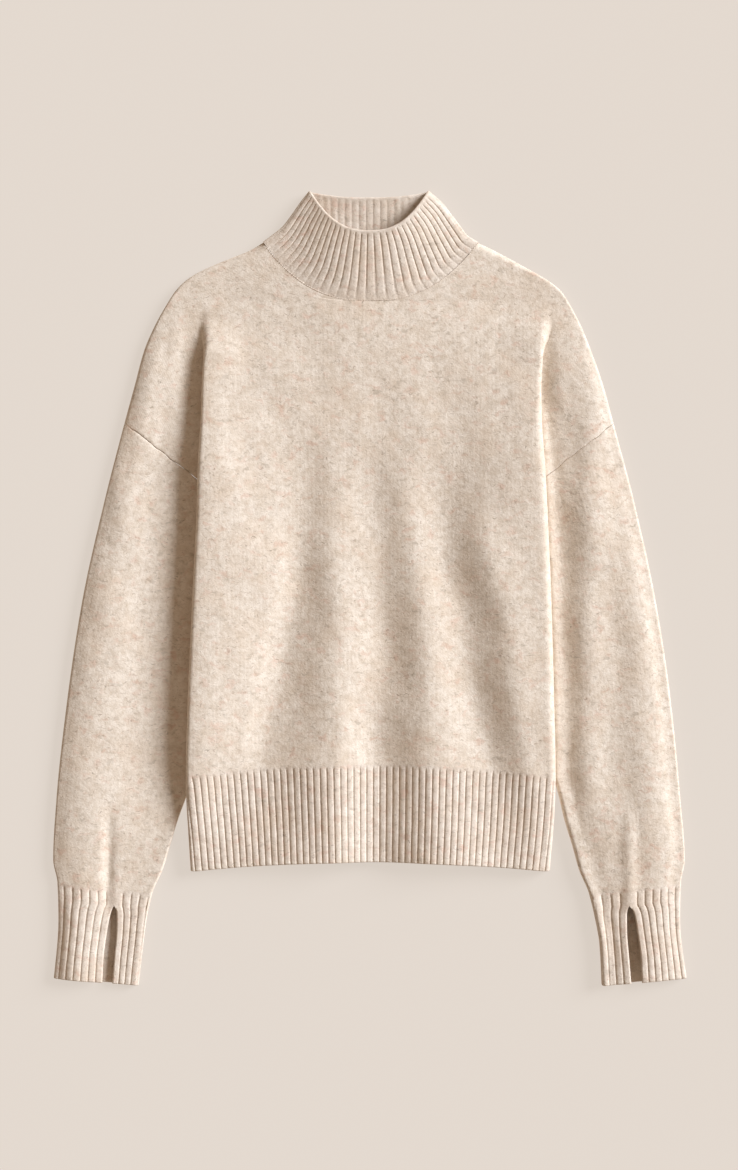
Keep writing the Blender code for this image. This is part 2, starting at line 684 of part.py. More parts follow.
def make_cuff(side):
    top, bottom = CUFF_LINE - GAP * 1.8, CUFF_EDGE

    def part_of_row(v, slit):
        """Fraction of the row from the silhouette to the inner edge where the slit's side lies."""
        y_outer = mix(top, bottom, v)
        y_inner = arm_inner_y(y_outer)
        reach = reach_of[side](y_outer) - WALL / 2.0 / tilt_of(reach_of[side], y_outer)
        inner = inner_of[side](y_inner) + WALL / 2.0 / tilt_of(inner_of[side], y_inner)
        middle = (y_outer + y_inner) / 2.0
        return (reach - slit(middle)) / (reach - inner)

    def tube(v, a):
        """a is 0 at the inner side of the slit, 1 at the inner edge, 2 at the silhouette, 3 at the slit."""
        y_outer = mix(top, bottom, v)
        near = part_of_row(v, slit_inner_of[side])
        far = part_of_row(v, slit_outer_of[side])
        first = arm_point(side, y_outer, np.clip(a, 0.0, 1.0), start=near)
        under = arm_point(side, y_outer, np.clip(a, 1.0001, 2.0))
        last = arm_point(side, y_outer, np.clip(a - 2.0, 0.0, 1.0), stop=far)
        over = np.where((a <= 1.0)[..., None], first, last)
        return np.where(((a > 1.0) & (a < 2.0))[..., None], under, over)

    half = (0.0, 0.3, 0.7, 0.92, 0.98, 1.0)
    under = (1.02, 1.06, 1.35, 1.65, 1.94, 1.98)
    other = tuple(3.0 - a for a in reversed(half))
    grid = patch(tube, CUFF_ROWS, half + under + other, row_step=1e-4)
    return shell("cuff_" + SIDE_NAMES[side], [grid], OATMEAL_RIB, [side == 1])


def make_collar():
    first = GAP * 2.4 / (COLLAR_TOP - 318.5)

    def tube(v, a):
        return collar_point(mix(first, 1.0, v), a)

    # The seam has the same points as the neck edges of the front and the back.
    half = SHOULDER_ROWS
    front = tuple((1.0 - r) / 2.0 for r in reversed(half)) + tuple((1.0 + r) / 2.0 for r in half[1:])
    half = tuple((r - BACK_CLIMB) / (1.0 - BACK_CLIMB) for r in SHOULDER_ROWS if r >= BACK_CLIMB)
    back = tuple(1.5 - r / 2.0 for r in reversed(half)) + tuple(1.5 + r / 2.0 for r in half[1:])
    grid = patch(tube, COLLAR_ROWS, front + back[1:], row_step=1e-4, closed=True)
    return shell("collar", [grid], OATMEAL_RIB, [False])


def main():
    for obj in list(bpy.data.objects):
        bpy.data.objects.remove(obj)
    make_panel("front_panel", False)
    make_panel("back_panel", True)
    make_hem("hem_rib_front", False)
    make_hem("hem_rib_back", True)
    for side in (0, 1):
        make_sleeve(side)
        make_cuff(side)
    make_collar()


main()
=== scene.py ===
# %% [markdown]
# # A mock neck sweater, laid flat
# This file gives a felted wool sweater its looks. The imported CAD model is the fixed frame: it says
# where each panel lies and how large it is. Every panel is made again here as a thin wall of cloth
# with its real creases and ribs, and takes the place of its plain CAD solid.
# Sizes are in millimetres until a mesh is written. +X is to the wearer's left, +Y runs from the hem
# to the collar and +Z is up from the table.

import json
import math

import bpy
import numpy as np
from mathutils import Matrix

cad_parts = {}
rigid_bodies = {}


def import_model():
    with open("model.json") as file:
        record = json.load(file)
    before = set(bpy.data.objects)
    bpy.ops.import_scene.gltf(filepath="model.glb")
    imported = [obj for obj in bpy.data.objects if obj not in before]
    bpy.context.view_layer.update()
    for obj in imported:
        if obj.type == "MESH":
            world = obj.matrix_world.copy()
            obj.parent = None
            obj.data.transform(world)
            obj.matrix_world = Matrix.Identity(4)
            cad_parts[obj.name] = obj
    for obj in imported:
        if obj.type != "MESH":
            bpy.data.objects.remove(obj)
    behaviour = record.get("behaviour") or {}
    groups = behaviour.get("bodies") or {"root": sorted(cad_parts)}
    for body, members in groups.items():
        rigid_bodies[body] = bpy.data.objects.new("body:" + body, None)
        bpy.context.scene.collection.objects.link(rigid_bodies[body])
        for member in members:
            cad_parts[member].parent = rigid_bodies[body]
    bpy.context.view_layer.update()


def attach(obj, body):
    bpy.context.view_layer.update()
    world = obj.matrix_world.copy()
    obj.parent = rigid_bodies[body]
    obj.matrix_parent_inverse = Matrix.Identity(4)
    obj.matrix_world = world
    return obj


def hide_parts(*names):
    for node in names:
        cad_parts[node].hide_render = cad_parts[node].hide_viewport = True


for leftover in list(bpy.data.objects):
    bpy.data.objects.remove(leftover)
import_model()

# %% [markdown]
# ## The sizes that drive everything
# A knitted panel is a sheet about 2 mm thick. The easiest way to keep plies from cutting into each
# other is to work out where the middle of the sheet runs, and to give it its thickness last. So the
# sizes below are heights of middle surfaces. They repeat the ones that the CAD was made from.

# %% Driving sizes
MM = 0.001  # one millimetre in metres, the unit of the meshes
WALL = 2.2  # thickness of the felted knit
HALF_WALL = WALL / 2.0
PLY = 2.6  # middle of one ply to the middle of the next, where plies lie pressed together
TABLE = HALF_WALL  # height of the middle of a ply that lies on the table
SEAM_GAP = 0.25  # between two pieces at a seam that shows

NECK_LINE = 265.0  # y of the lowest point of the front neck seam
NECK_CORNER = 318.5  # y where the neck seam ends, on the shoulder
UNDERARM = 39.6  # y where the armhole seam ends, hidden under the body
HEM_LINE = -170.5  # y where the hem rib starts, at the sides
HEM_EDGE = -259.5  # y of the bottom edge of the hem, at the sides
BACK_SHORTER = 1.5  # the back's hem ends this much above the front's
FULL_ROLL = 206.0  # y below which the side of the body is rolled right under
PRESS = 2.0  # how far inside the edge of the body a sleeve starts to rise
MIDDLE = (0.2, 0.8, 0.0)  # middle of the box round the sweater, where the origin is put

SIGN = (-1.0, 1.0)  # the wearer's right side lies at -X, the left one at +X
SIDE_NAMES = ("right", "left")
print("wall", WALL, "mm, plies", PLY, "mm apart")

# %% [markdown]
# ## Outlines
# Each outline is a short table of places read off the garment, and a smooth curve runs through it.
# A curve that never overshoots keeps a straight edge straight between two places that agree, which
# a plain spline doesn't.

# %% Smooth curves through tables
def tangents(slope):
    """Slopes at the points of a curve that never overshoots, from the slopes between them."""
    product = slope[:-1] * slope[1:]
    both = np.where(product > 0.0, slope[:-1] + slope[1:], 1.0)
    inside = np.where(product > 0.0, 2.0 * product / both, 0.0)
    return np.concatenate([slope[:1], inside, slope[-1:]])


def between(t, step, start, stop, leaving, arriving):
    """A piece of curve from start to stop, with the slopes at which it leaves and arrives."""
    rest = 1.0 - t
    ends = start * rest * rest * (1.0 + 2.0 * t) + stop * t * t * (3.0 - 2.0 * t)
    return ends + step * t * rest * (leaving * rest - arriving * t)


def curve(table, column):
    """A smooth curve through one column of a table against its first column, with no overshoot."""
    rows = sorted((row[0], row[column]) for row in table)
    at = np.array([row[0] for row in rows])
    value = np.array([row[1] for row in rows])
    step = np.diff(at)
    tangent = tangents(np.diff(value) / step)

    def value_at(x):
        x = np.clip(x, at[0], at[-1])
        i = np.clip(np.searchsorted(at, x) - 1, 0, len(step) - 1)
        t = (x - at[i]) / step[i]
        return between(t, step[i], value[i], value[i + 1], tangent[i], tangent[i + 1])

    return value_at


def both_sides(table):
    return curve(table, 1), curve(table, 2)


def smooth(t):
    t = np.clip(t, 0.0, 1.0)
    return t * t * (3.0 - 2.0 * t)


def mix(a, b, t):
    return a + (b - a) * t


print("half way through a smooth step:", smooth(0.5))

# %% Outlines of the garment
# Silhouette from the neck down the shoulder, the sleeve and the cuff: y, right reach, left reach.
OUTLINE = (
    (318.5, 99.0, 101.0),
    (312.0, 110.0, 114.5),
    (304.5, 128.0, 128.5),
    (297.0, 146.0, 142.0),
    (288.0, 163.5, 158.0),
    (275.0, 178.0, 175.5),
    (260.0, 188.0, 185.5),
    (242.0, 198.0, 195.0),
    (220.0, 207.5, 204.0),
    (187.0, 216.5, 215.5),
    (152.0, 226.0, 225.0),
    (82.0, 244.0, 243.5),
    (-10.0, 264.5, 263.5),
    (-102.0, 278.5, 277.5),
    (-194.0, 288.5, 286.5),
    (-249.0, 291.5, 290.5),
    (-270.5, 287.5, 287.0),
    (-304.5, 286.5, 286.0),
    (-366.0, 291.5, 293.0),
)

# Side edge of the body, where it rolls under: y, right reach, left reach.
BODY_EDGE = (
    (265.0, 150.0, 163.0),
    (242.0, 151.0, 162.0),
    (224.0, 152.0, 160.5),
    (206.0, 153.0, 159.0),
    (186.0, 154.0, 158.0),
    (155.0, 155.0, 158.5),
    (110.0, 157.5, 161.5),
    (73.0, 158.5, 163.5),
    (-10.0, 162.5, 167.0),
    (-102.0, 166.5, 169.5),
    (-171.0, 168.5, 171.0),
    (-194.0, 168.0, 170.5),
    (-222.0, 166.5, 169.0),
    (-259.5, 164.5, 166.0),
)

# Inner edge of the sleeve and cuff: y, right reach, left reach.
SLEEVE_INNER = (
    (39.6, 77.5, 79.5),
    (-60.0, 117.0, 121.0),
    (-182.0, 165.0, 172.0),
    (-212.5, 176.5, 179.5),
    (-235.5, 183.5, 186.5),
    (-258.5, 190.5, 193.0),
    (-280.0, 200.0, 202.0),
    (-304.5, 205.5, 208.0),
    (-327.5, 208.5, 212.0),
    (-366.0, 213.0, 214.0),
)

# Side edges of the collar, from the shoulder to the corners of the rim: y, right, left reach.
COLLAR_EDGE = (
    (318.5, 99.0, 101.0),
    (324.0, 91.5, 91.5),
    (333.0, 80.5, 84.2),
    (342.5, 73.0, 77.0),
    (354.0, 65.0, 68.0),
    (366.0, 55.5, 54.5),
)

reach_of = both_sides(OUTLINE)
edge_of = both_sides(BODY_EDGE)
inner_of = both_sides(SLEEVE_INNER)
collar_of = both_sides(COLLAR_EDGE)


def tilt_of(reach, y):
    """Cosine of the angle between the x axis and the outward normal of a silhouette."""
    slope = reach(y + 0.5) - reach(y - 0.5)
    return 1.0 / np.sqrt(1.0 + slope * slope)


def middle_reach(side, y):
    """Reach of the middle of the cloth where it folds over at the silhouette."""
    return reach_of[side](y) - HALF_WALL / tilt_of(reach_of[side], y)


def inside_silhouette(side, out, y):
    """How far inside that fold the middle of the cloth lies at a place."""
    inside = (reach_of[side](y) - out) * tilt_of(reach_of[side], y) - HALF_WALL
    return np.maximum(inside, 0.0)


print("widest reach of a sleeve:", max(row[1] for row in OUTLINE), "mm")

# %% [markdown]
# ## Creases
# Cloth that lies on a table shows long, soft folds. Simulated cloth gives folds of its own choosing.
# These have to be where the real ones are. On the body they fan out from the chest to the hem, so
# seven lines are drawn over it, along the crests and the troughs. Each line has its place and its
# height on every row, and a smooth curve joins them across the row. Low waves of many lengths lie
# over them, because no part of a worn cloth is quite even.

# %% Folds of the body
# A shelf over the tucked side, then a trough and a crest three times over.
# y, then x and height of each of the seven lines.
BODY_LINES = (
    (265.0, -110.0, 8.7, -55.0, 10.8, -22.0, 11.7, 6.0, 12.0, 36.0, 11.4, 62.0, 10.4, 110.0, 8.7),
    (238.0, -110.0, 10.7, -55.0, 11.8, -22.0, 12.3, 6.0, 12.4, 36.0, 12.1, 62.0, 11.6, 110.0, 10.7),
    (190.0, -112.0, 14.6, -57.0, 13.2, -25.0, 13.4, 6.0, 13.3, 36.0, 13.3, 62.0, 13.0, 114.0, 14.6),
    (137.0, -112.0, 17.4, -59.0, 13.2, -30.0, 14.1, 6.0, 13.2, 36.0, 14.3, 66.0, 13.6, 118.0, 17.0),
    (82.0, -98.0, 17.2, -62.0, 11.9, -33.0, 14.8, 4.0, 11.4, 35.0, 14.6, 66.0, 12.0, 110.0, 18.6),
    (27.0, -90.0, 16.8, -63.0, 11.4, -33.0, 16.6, 7.0, 11.2, 41.0, 16.8, 68.0, 12.8, 114.0, 21.4),
    (-29.0, -100.0, 17.4, -71.0, 10.4, -28.0, 17.6, 12.0, 11.0, 50.0, 18.2, 84.0, 12.8, 128.0, 22.4),
    (-84.0, -114.0, 18.2, -82.0, 10.8, -31.0, 18.4, 11.0, 11.0, 54.0, 19.4, 92.0, 13.0, 136.0, 22.6),
    (-139.0, -118.0, 16.2, -94.0, 10.4, -30.0, 19.2, 8.0, 11.0, 57.0, 20.4, 103.0, 13.8, 143.0, 21.0),
    (-194.0, -128.0, 12.2, -103.0, 10.7, -33.0, 19.6, 8.0, 11.0, 60.0, 20.8, 117.0, 14.8, 150.0, 17.6),
    (-259.5, -134.0, 10.5, -110.0, 11.6, -34.0, 19.6, 7.0, 10.8, 62.0, 20.8, 130.0, 13.4, 150.0, 12.6),
)
line_places = [curve(BODY_LINES, column) for column in range(1, 15, 2)]
line_heights = [curve(BODY_LINES, column) for column in range(2, 15, 2)]


def across_lines(x, at, height):
    """Height at x of a curve across lines, from the x and the height of each of them on its row."""
    step = np.diff(at, axis=0)
    tangent = tangents(np.diff(height, axis=0) / step)
    tangent[[0, -1]] = 0.0
    result = height[0]
    for i in range(len(step)):
        t = np.clip((x - at[i]) / step[i], 0.0, 1.0)
        here = between(t, step[i], height[i], height[i + 1], tangent[i], tangent[i + 1])
        result = np.where(x >= at[i], here, result)
    return result


print("lines over the body:", len(line_places), "on", len(BODY_LINES), "rows")

# %% Ridges of the sleeves, and waves
# x and y of the upper end, x and y of the lower end, width toward -x above and below, width
# toward +x, height. A negative height is a trough.
SLEEVE_RIDGES = (
    (-170.0, 300.0, -175.0, 60.0, 10.0, 13.0, 7.0, 2.8),
    (204.0, 240.0, 198.0, -170.0, 13.0, 15.0, 17.0, 3.6),
    (235.0, 110.0, 266.0, -255.0, 13.0, 16.0, 24.0, 2.5),
    (238.7, -190.0, 238.7, -284.0, 6.0, 6.0, 6.0, 1.8),
    (-240.0, -185.0, -240.0, -287.0, 5.0, 5.0, 5.0, -2.2),
)


def ridges(table, x, y):
    """Height of the ridges of a table at a place."""
    height = np.zeros(np.shape(x))
    for x_top, y_top, x_low, y_low, steep_top, steep_low, gentle, crest in table:
        along = (y_top - y) / (y_top - y_low)
        away = x - mix(x_top, x_low, along)
        steep = mix(steep_top, steep_low, np.clip(along, 0.0, 1.0))
        fall = np.exp(-((away / np.where(away < 0.0, steep, gentle)) ** 2))
        fade = smooth(along / 0.45) * smooth((1.2 - along) / 0.2)
        height = height + crest * fade * fall
    return height


def waves(x, y, seed, shortest, longest, count=14):
    """Low waves in all directions, between about -1 and 1."""
    chance = np.random.default_rng(seed)
    height = np.zeros(np.shape(x))
    for _ in range(count):
        length = chance.uniform(shortest, longest)
        angle = chance.uniform(0.0, math.pi)
        phase = chance.uniform(0.0, 2.0 * math.pi)
        run = x * math.cos(angle) + y * math.sin(angle)
        height = height + np.sin(2.0 * math.pi * run / length + phase)
    return height / math.sqrt(count)


def unevenness(x, y):
    """How a felted cloth that has been worn lies a little uneven everywhere, in millimetres."""
    return 0.35 * waves(x, y, 11, 45.0, 110.0) + 0.10 * waves(x, y, 12, 14.0, 30.0, 30)


print("ridges on the sleeves:", len(SLEEVE_RIDGES))

# %% [markdown]
# ## Two plies on the table
# A sleeve is a tube that lies flat, and so are the shoulders. Both are two plies that meet in a
# rounded fold at the silhouette. The upper ply is pressed down where the body lies on it and rises
# in a soft hump beside it.

# %% Plies on the table
# y, radius of the outer edge, height at the inner edge, extra height in the middle.
LOFT = (
    (318.5, 3.4, 8.0, 0.0),
    (265.0, 3.4, 8.2, 0.0),
    (240.0, 3.0, 7.0, 1.5),
    (206.0, 2.8, 4.1, 4.0),
    (152.0, 2.8, 3.7, 5.0),
    (0.0, 3.0, 3.7, 6.0),
    (-172.0, 3.0, 3.7, 6.0),
    (-206.0, 3.0, 5.0, 6.0),
    (-240.0, 2.9, 6.5, 5.0),
    (-274.0, 2.8, 6.4, 4.6),
    (-310.0, 2.8, 6.4, 6.2),
    (-366.0, 2.8, 6.4, 6.4),
)
# The hump of a sleeve, from the body to the silhouette: share of the way, right, left, left above
# the armhole. The right one lies low beside the body. The left one comes up at once.
HUMP = (
    (0.0, 0.0, 0.0, 0.0),
    (0.03, 0.0, 0.66, 0.04),
    (0.07, 0.0, 0.60, 0.11),
    (0.13, 0.01, 0.44, 0.30),
    (0.18, 0.03, 0.50, 0.52),
    (0.26, 0.06, 0.70, 0.80),
    (0.36, 0.15, 0.82, 0.96),
    (0.50, 0.38, 0.86, 0.92),
    (0.64, 0.68, 0.80, 0.80),
    (0.76, 0.78, 0.58, 0.64),
    (0.88, 0.56, 0.30, 0.38),
    (1.0, 0.0, 0.0, 0.0),
)
ARMHOLE_HEIGHT = 158.0  # y where the left sleeve's hump changes over
ARMHOLE_BLEND = 40.0  # length over which it does
SLEEVE_UNEVEN = 1.2  # the sleeves lie this much more uneven than the body
EDGE_POWER = 7.0  # 2 would make a folded edge a half round, more makes it squarer
rim_at, inner_height_at, puff_at = (curve(LOFT, column) for column in (1, 2, 3))
right_hump, left_hump, left_top_hump = (curve(HUMP, column) for column in (1, 2, 3))


def hump(side, y, share):
    """Height of a sleeve's hump between 0 and 1, from the body to the silhouette."""
    if side == 0:
        return right_hump(share)
    above = smooth((y - ARMHOLE_HEIGHT + ARMHOLE_BLEND / 2.0) / ARMHOLE_BLEND)
    return mix(left_hump(share), left_top_hump(share), above)


def pinch(under, upper, distance, part):
    """Two plies that meet along a folded edge. distance is how far inside it is."""
    radius = np.maximum((upper - under) / 2.0, 1e-6)
    middle = (upper + under) / 2.0
    rest = 1.0 - np.clip(distance / radius, 0.0, 1.0)
    round_off = (1.0 - rest ** EDGE_POWER) ** (1.0 / EDGE_POWER)
    spread = part / 2.0 + (radius - part / 2.0) * round_off
    return middle - spread, middle + spread


def upper_ply(side, out, y):
    """Height of the upper of the two plies on the table, before its edge is rounded."""
    reach = middle_reach(side, y)
    pressed = np.maximum(edge_of[side](y) - PRESS, inner_of[side](y))
    across = np.clip((reach - out) / (reach - pressed), 0.0, 1.0)
    rise = puff_at(y) * hump(side, y, 1.0 - across)
    height = mix(TABLE + 2.0 * rim_at(y), inner_height_at(y), smooth(across)) + rise
    # Ridges and waves fade out at the silhouette, beside the body and where the hump is low.
    free = smooth(across / 0.15) * smooth((1.0 - across) / 0.2) * smooth(rise / 2.0)
    x = SIGN[side] * out
    return height + free * (ridges(SLEEVE_RIDGES, x, y) + SLEEVE_UNEVEN * unevenness(x, y))


def table_plies(side, out, y, part=SEAM_GAP):
    """Heights of the under and the upper ply on the table, rounded together at the silhouette."""
    under = np.full(np.shape(out), TABLE)
    return pinch(under, upper_ply(side, out, y), inside_silhouette(side, out, y), part)


beside_body = upper_ply(0, np.array(200.0), np.array(0.0))
print("sleeve height beside the body:", round(float(beside_body), 1), "mm")

# %% [markdown]
# ## The body
# The sides of the body are tucked under it: the cloth rolls over a nose, runs back under the body,
# turns again and comes out as the pleat below the shoulder. One number, c, follows the cloth of a
# row through all of it, so that front and back can be told how far apart they run at each place.

# %% The roll at the side of the body
# y, angle turned in degrees, cloth in the two bends, lower bend's share.
ROLL = (
    (265.0, 0.01, 12.0, 0.50),
    (250.0, 12.0, 13.0, 0.45),
    (238.0, 45.0, 13.5, 0.38),
    (226.0, 95.0, 14.0, 0.33),
    (216.0, 140.0, 14.6, 0.28),
    (206.0, 180.0, 19.2, 0.2950),
    (160.0, 180.0, 25.0, 0.1760),
    (110.0, 180.0, 31.1, 0.1414),
    (-120.0, 180.0, 31.1, 0.1414),
    (-194.0, 180.0, 21.5, 0.1700),
    (-259.5, 180.0, 18.0, 0.1900),
)

# Depth of the tuck under the body: y, right, left.
TUCK = (
    (226.0, 0.0, 0.0),
    (216.0, 1.5, 1.5),
    (206.0, 5.0, 5.0),
    (120.0, 39.0, 41.0),
    (39.6, 73.0, 76.0),
    (-20.0, 67.0, 69.0),
    (-100.0, 64.0, 66.0),
    (-259.5, 64.0, 66.0),
)

# Height of the tucked ply below the underarm: y, height of its middle.
TUCK_HEIGHT = (
    (39.6, 6.5),
    (-172.0, 6.5),
    (-259.5, 1.1),
)
NOSE_POWER = (6.0, 2.6)  # how square the upper bend is, right and left
LEFT_BEND = 0.86  # the left side is rolled this much tighter than the right one, above the hem
HEM_BLEND = 60.0  # length over which the left side opens to the right one's roll below the hem line
TUCK_BLEND = 60.0  # length over which the tucked ply comes off the sleeve below the underarm
SAG_SHARE = 0.75  # share of the way down to the table that a free tuck sinks
SAG_LENGTH = 28.0  # length over which it does, beside the sleeve

turn_at, cloth_at_bend, share_at = (curve(ROLL, column) for column in (1, 2, 3))
tuck_of = both_sides(TUCK)
tuck_height_at = curve(TUCK_HEIGHT, 1)


def bend_at(side, y):
    """Length of cloth in the two bends."""
    if side == 0:
        return cloth_at_bend(y)
    return cloth_at_bend(y) * mix(LEFT_BEND, 1.0, smooth((HEM_LINE - y) / HEM_BLEND))


def roll_start(side, y):
    """Reach where the side of the body starts to roll: one bend radius inside its edge."""
    full = np.minimum(y, FULL_ROLL)
    return edge_of[side](y) - HALF_WALL - bend_at(side, full) * (1.0 - share_at(full)) / math.pi


def squarish(angle, power):
    """Sine and cosine of a round drawn out toward a square, and the angle of its normal."""
    parts = np.stack([np.sin(angle), np.cos(angle)])
    place = np.sign(parts) * np.abs(parts) ** (2.0 / power)
    normal = np.sign(parts) * np.abs(parts) ** (2.0 - 2.0 / power)
    return place[0], place[1], np.arctan2(normal[0], normal[1])


def roll(side, y, c):
    """Run out and drop of the rolled cloth from its start, and its angle. c is 1 to 4."""
    turn = np.radians(turn_at(y))
    bend = bend_at(side, y)
    radius_nose = bend * (1.0 - share_at(y)) / turn
    radius_inner = bend * share_at(y) / turn
    depth = tuck_of[side](y)
    angle = turn * (np.clip(c - 1.0, 0.0, 1.0) - np.clip(c - 3.0, 0.0, 1.0))
    straight = depth * np.clip(c - 2.0, 0.0, 1.0)
    power = mix(2.0, NOSE_POWER[side], smooth(turn / math.pi * 2.5 - 1.5))
    run, height, nose = squarish(turn * np.clip(c - 1.0, 0.0, 1.0), power)
    angle = np.where(c < 2.0, nose, angle)
    out = radius_nose * run + straight * np.cos(turn)
    drop = radius_nose * (1.0 - height) + straight * np.sin(turn)
    past = np.where(c > 3.0, 1.0, 0.0)
    out = out + past * radius_inner * (np.sin(turn) - np.sin(angle))
    drop = drop + past * radius_inner * (np.cos(angle) - np.cos(turn))
    return out, drop, angle


def tuck_sag(side, y, out, c):
    """How far the tucked plies sink where no sleeve lies under them."""
    free = smooth((inner_of[side](y) - out - 2.0) / SAG_LENGTH) * smooth((c - 2.0) / 0.3)
    return SAG_SHARE * (tuck_height_at(y) - TABLE) * free


def roll_end(side, y):
    """Run out and drop of the cloth where its roll ends."""
    return roll(side, y, np.full(np.shape(y), 4.0))[:2]


def on_sleeve(y):
    """1 where the tucked plies lie on the sleeve and 0 well below the underarm."""
    return smooth((y - UNDERARM + TUCK_BLEND) / TUCK_BLEND)


def low_height(side, y):
    """Height of the front's ply at the end of the roll."""
    upper = table_plies(side, roll_start(side, y) + roll_end(side, y)[0], y)[1]
    free = tuck_height_at(y) - 2.0 * bend_at(side, y) * share_at(y) / math.pi
    return mix(free, upper, on_sleeve(y))


def roll_height(side, y):
    """Height of the front where its side starts to roll under."""
    return low_height(side, y) + roll_end(side, y)[1]


print("roll at the waist:", round(float(bend_at(0, 0.0)), 1), "mm of cloth in its two bends")

# %% A place on the front or the back, below the neck
PLEAT_PRESSED = 0.3  # share of a pleat's columns that lie under the body

# How far the courses of the hem arch up over the middle of the body: y, rise.
HEM_ARCH = (
    (39.6, 0.0),
    (-60.0, 5.0),
    (-170.5, 9.5),
    (-259.5, 8.5),
)

# A row of the pleat below the shoulder runs from the body (y) to the silhouette (y there).
ROW_ENDS = (
    (39.6, 152.0),
    (206.0, 235.0),
    (265.0, 262.0),
)
NECK_HEIGHT = 12.0  # middle of the front's wall at the lowest point of the neck seam
CHEST_REACH = 147.0  # how far out the swell of the chest reaches at the neck line
CALM_EDGE = 0.16  # share of the front beside a roll where its unevenness fades out
BACK_RAMP = 0.8  # share of the half over which the back rises from the table to the roll
BEND_SPARE = 0.5  # more room between the plies in the second bend

hem_arch_at = curve(HEM_ARCH, 1)
row_end_at = curve(ROW_ENDS, 1)


def chest_swell(out):
    """From 1 at the centre of the chest to 0 at its side, along the neck line."""
    return 1.0 - smooth(out / CHEST_REACH)


def front_height(x, y):
    """Height of the middle of the front over the body, between its two rolls."""
    at = [-roll_start(0, y), *[place(y) for place in line_places], roll_start(1, y)]
    height = [roll_height(0, y), *[line(y) for line in line_heights], roll_height(1, y)]
    return across_lines(x, np.stack(at), np.stack(height))


def bent(t, knee, value):
    """0 to 1 in two straight parts, that meet at the value given for the knee."""
    return np.where(t < knee, value * t / knee, value + (1.0 - value) * (t - knee) / (1.0 - knee))


def body_point(side, is_back, y, c):
    """A point of the front or back below the neck line.

    c runs across the half: 0 to 1 from the centre to the roll, 1 to 2 round the nose of the roll,
    2 to 3 back under the body, 3 to 4 round the second bend and 4 to 5 out to the silhouette or
    to the armhole seam.
    """
    start = roll_start(side, y)
    low = low_height(side, y)
    start_height = roll_height(side, y)
    end = start + roll_end(side, y)[0]

    t = np.clip(c, 0.0, 1.0)
    out_top = start * t
    last_ply = mix(PLY, low - TABLE, on_sleeve(y))
    first_ply = mix(last_ply, PLY, smooth(turn_at(y) / 90.0))
    ply = mix(first_ply, last_ply, np.clip((c - 1.0) / 3.0, 0.0, 1.0))
    x = SIGN[side] * out_top
    front_top = front_height(x, y) + unevenness(x, y) * smooth((1.0 - t) / CALM_EDGE)
    back_top = mix(TABLE, start_height - first_ply, smooth(t / BACK_RAMP))
    back_top = np.minimum(back_top, front_top - PLY)
    height_top = back_top if is_back else front_top

    out_roll, drop, angle = roll(side, y, np.clip(c, 1.0, 4.0))
    spare = BEND_SPARE * np.sin(angle) ** 3 * np.where(c > 3.0, 1.0, 0.0)
    under = ply + spare if is_back else 0.0
    out_rolled = start + out_roll - under * np.sin(angle)
    out_upper = np.where(c <= 1.0, out_top, out_rolled)
    y_upper = y + hem_arch_at(y) * (1.0 - np.clip(out_upper / start, 0.0, 1.0) ** 2)
    height_rolled = start_height - drop - under * np.cos(angle) - tuck_sag(side, y, out_rolled, c)

    y_end = row_end_at(y)
    reach = middle_reach(side, y_end)
    pressed = np.clip((edge_of[side](y) - PRESS - end) / (reach - end), 0.15, 0.9)
    f = bent(np.clip(c - 4.0, 0.0, 1.0), PLEAT_PRESSED, pressed)
    out_low = mix(end, reach, f)
    y_low = mix(y, y_end, f)
    height_low = table_plies(side, out_low, y_low)[0 if is_back else 1]

    out = np.where(c <= 4.0, out_upper, out_low)
    along = np.where(c <= 4.0, y_upper, y_low)
    height = np.select([c <= 1.0, c <= 4.0], [height_top, height_rolled], height_low)
    return np.stack([SIGN[side] * out, along, height], axis=-1)


print("middle of the chest:", np.round(body_point(1, False, np.array(100.0), np.array(0.0)), 1))
roll_tops = body_point(1, False, np.array([230.0, 120.0, -100.0, -250.0]), np.ones(4))[:, 2]
print("height of the left roll from the chest to the hem, mm:", np.round(roll_tops, 1))

# %% [markdown]
# ## The shoulders
# Above the neck line each half of a panel has four sides: the row below it, the neck seam, the
# shoulder's silhouette and the side. A Coons patch blends four such sides into one surface in plan,
# and the height is worked out at each place.

# %% A place on the shoulder
SHOULDER_CORNER = 284.0  # y on the silhouette where the top row of the shoulder ends
BACK_CLIMB = 0.35  # share of the shoulder's rows that the back has below its own neck seam
SEAM_DIP_FRONT = NECK_CORNER - NECK_LINE  # how far the neck seam swings down at the middle of the front
SEAM_DIP_BACK = 20.0
DIP_POWER = 2.5  # higher is squarer


def neck_seam(side, across, dip):
    """Plan of the neck seam: across is 0 at the centre and 1 at the shoulder."""
    out = (collar_of[side](NECK_CORNER) - HALF_WALL) * across
    return out, NECK_CORNER - dip * (1.0 - np.clip(across, 0.0, 1.0) ** DIP_POWER)


def shoulder_height(side, is_back, out, y):
    """Height of the front or back over the shoulders, above the neck line."""
    centre = NECK_HEIGHT - upper_ply(side, roll_start(side, NECK_LINE), NECK_LINE)
    under = np.full(np.shape(out), TABLE)
    upper = upper_ply(side, out, y) + centre * chest_swell(out)
    past_neck = out - collar_of[side](NECK_CORNER) + HALF_WALL
    part = SEAM_GAP + PLY * smooth((y - 312.0) / 5.0) * smooth(1.0 - past_neck / 3.0)
    return pinch(under, upper, inside_silhouette(side, out, y), part)[0 if is_back else 1]


def silhouette(side, y):
    """Plan of the fold at the silhouette."""
    return np.stack([middle_reach(side, y), y], axis=-1)


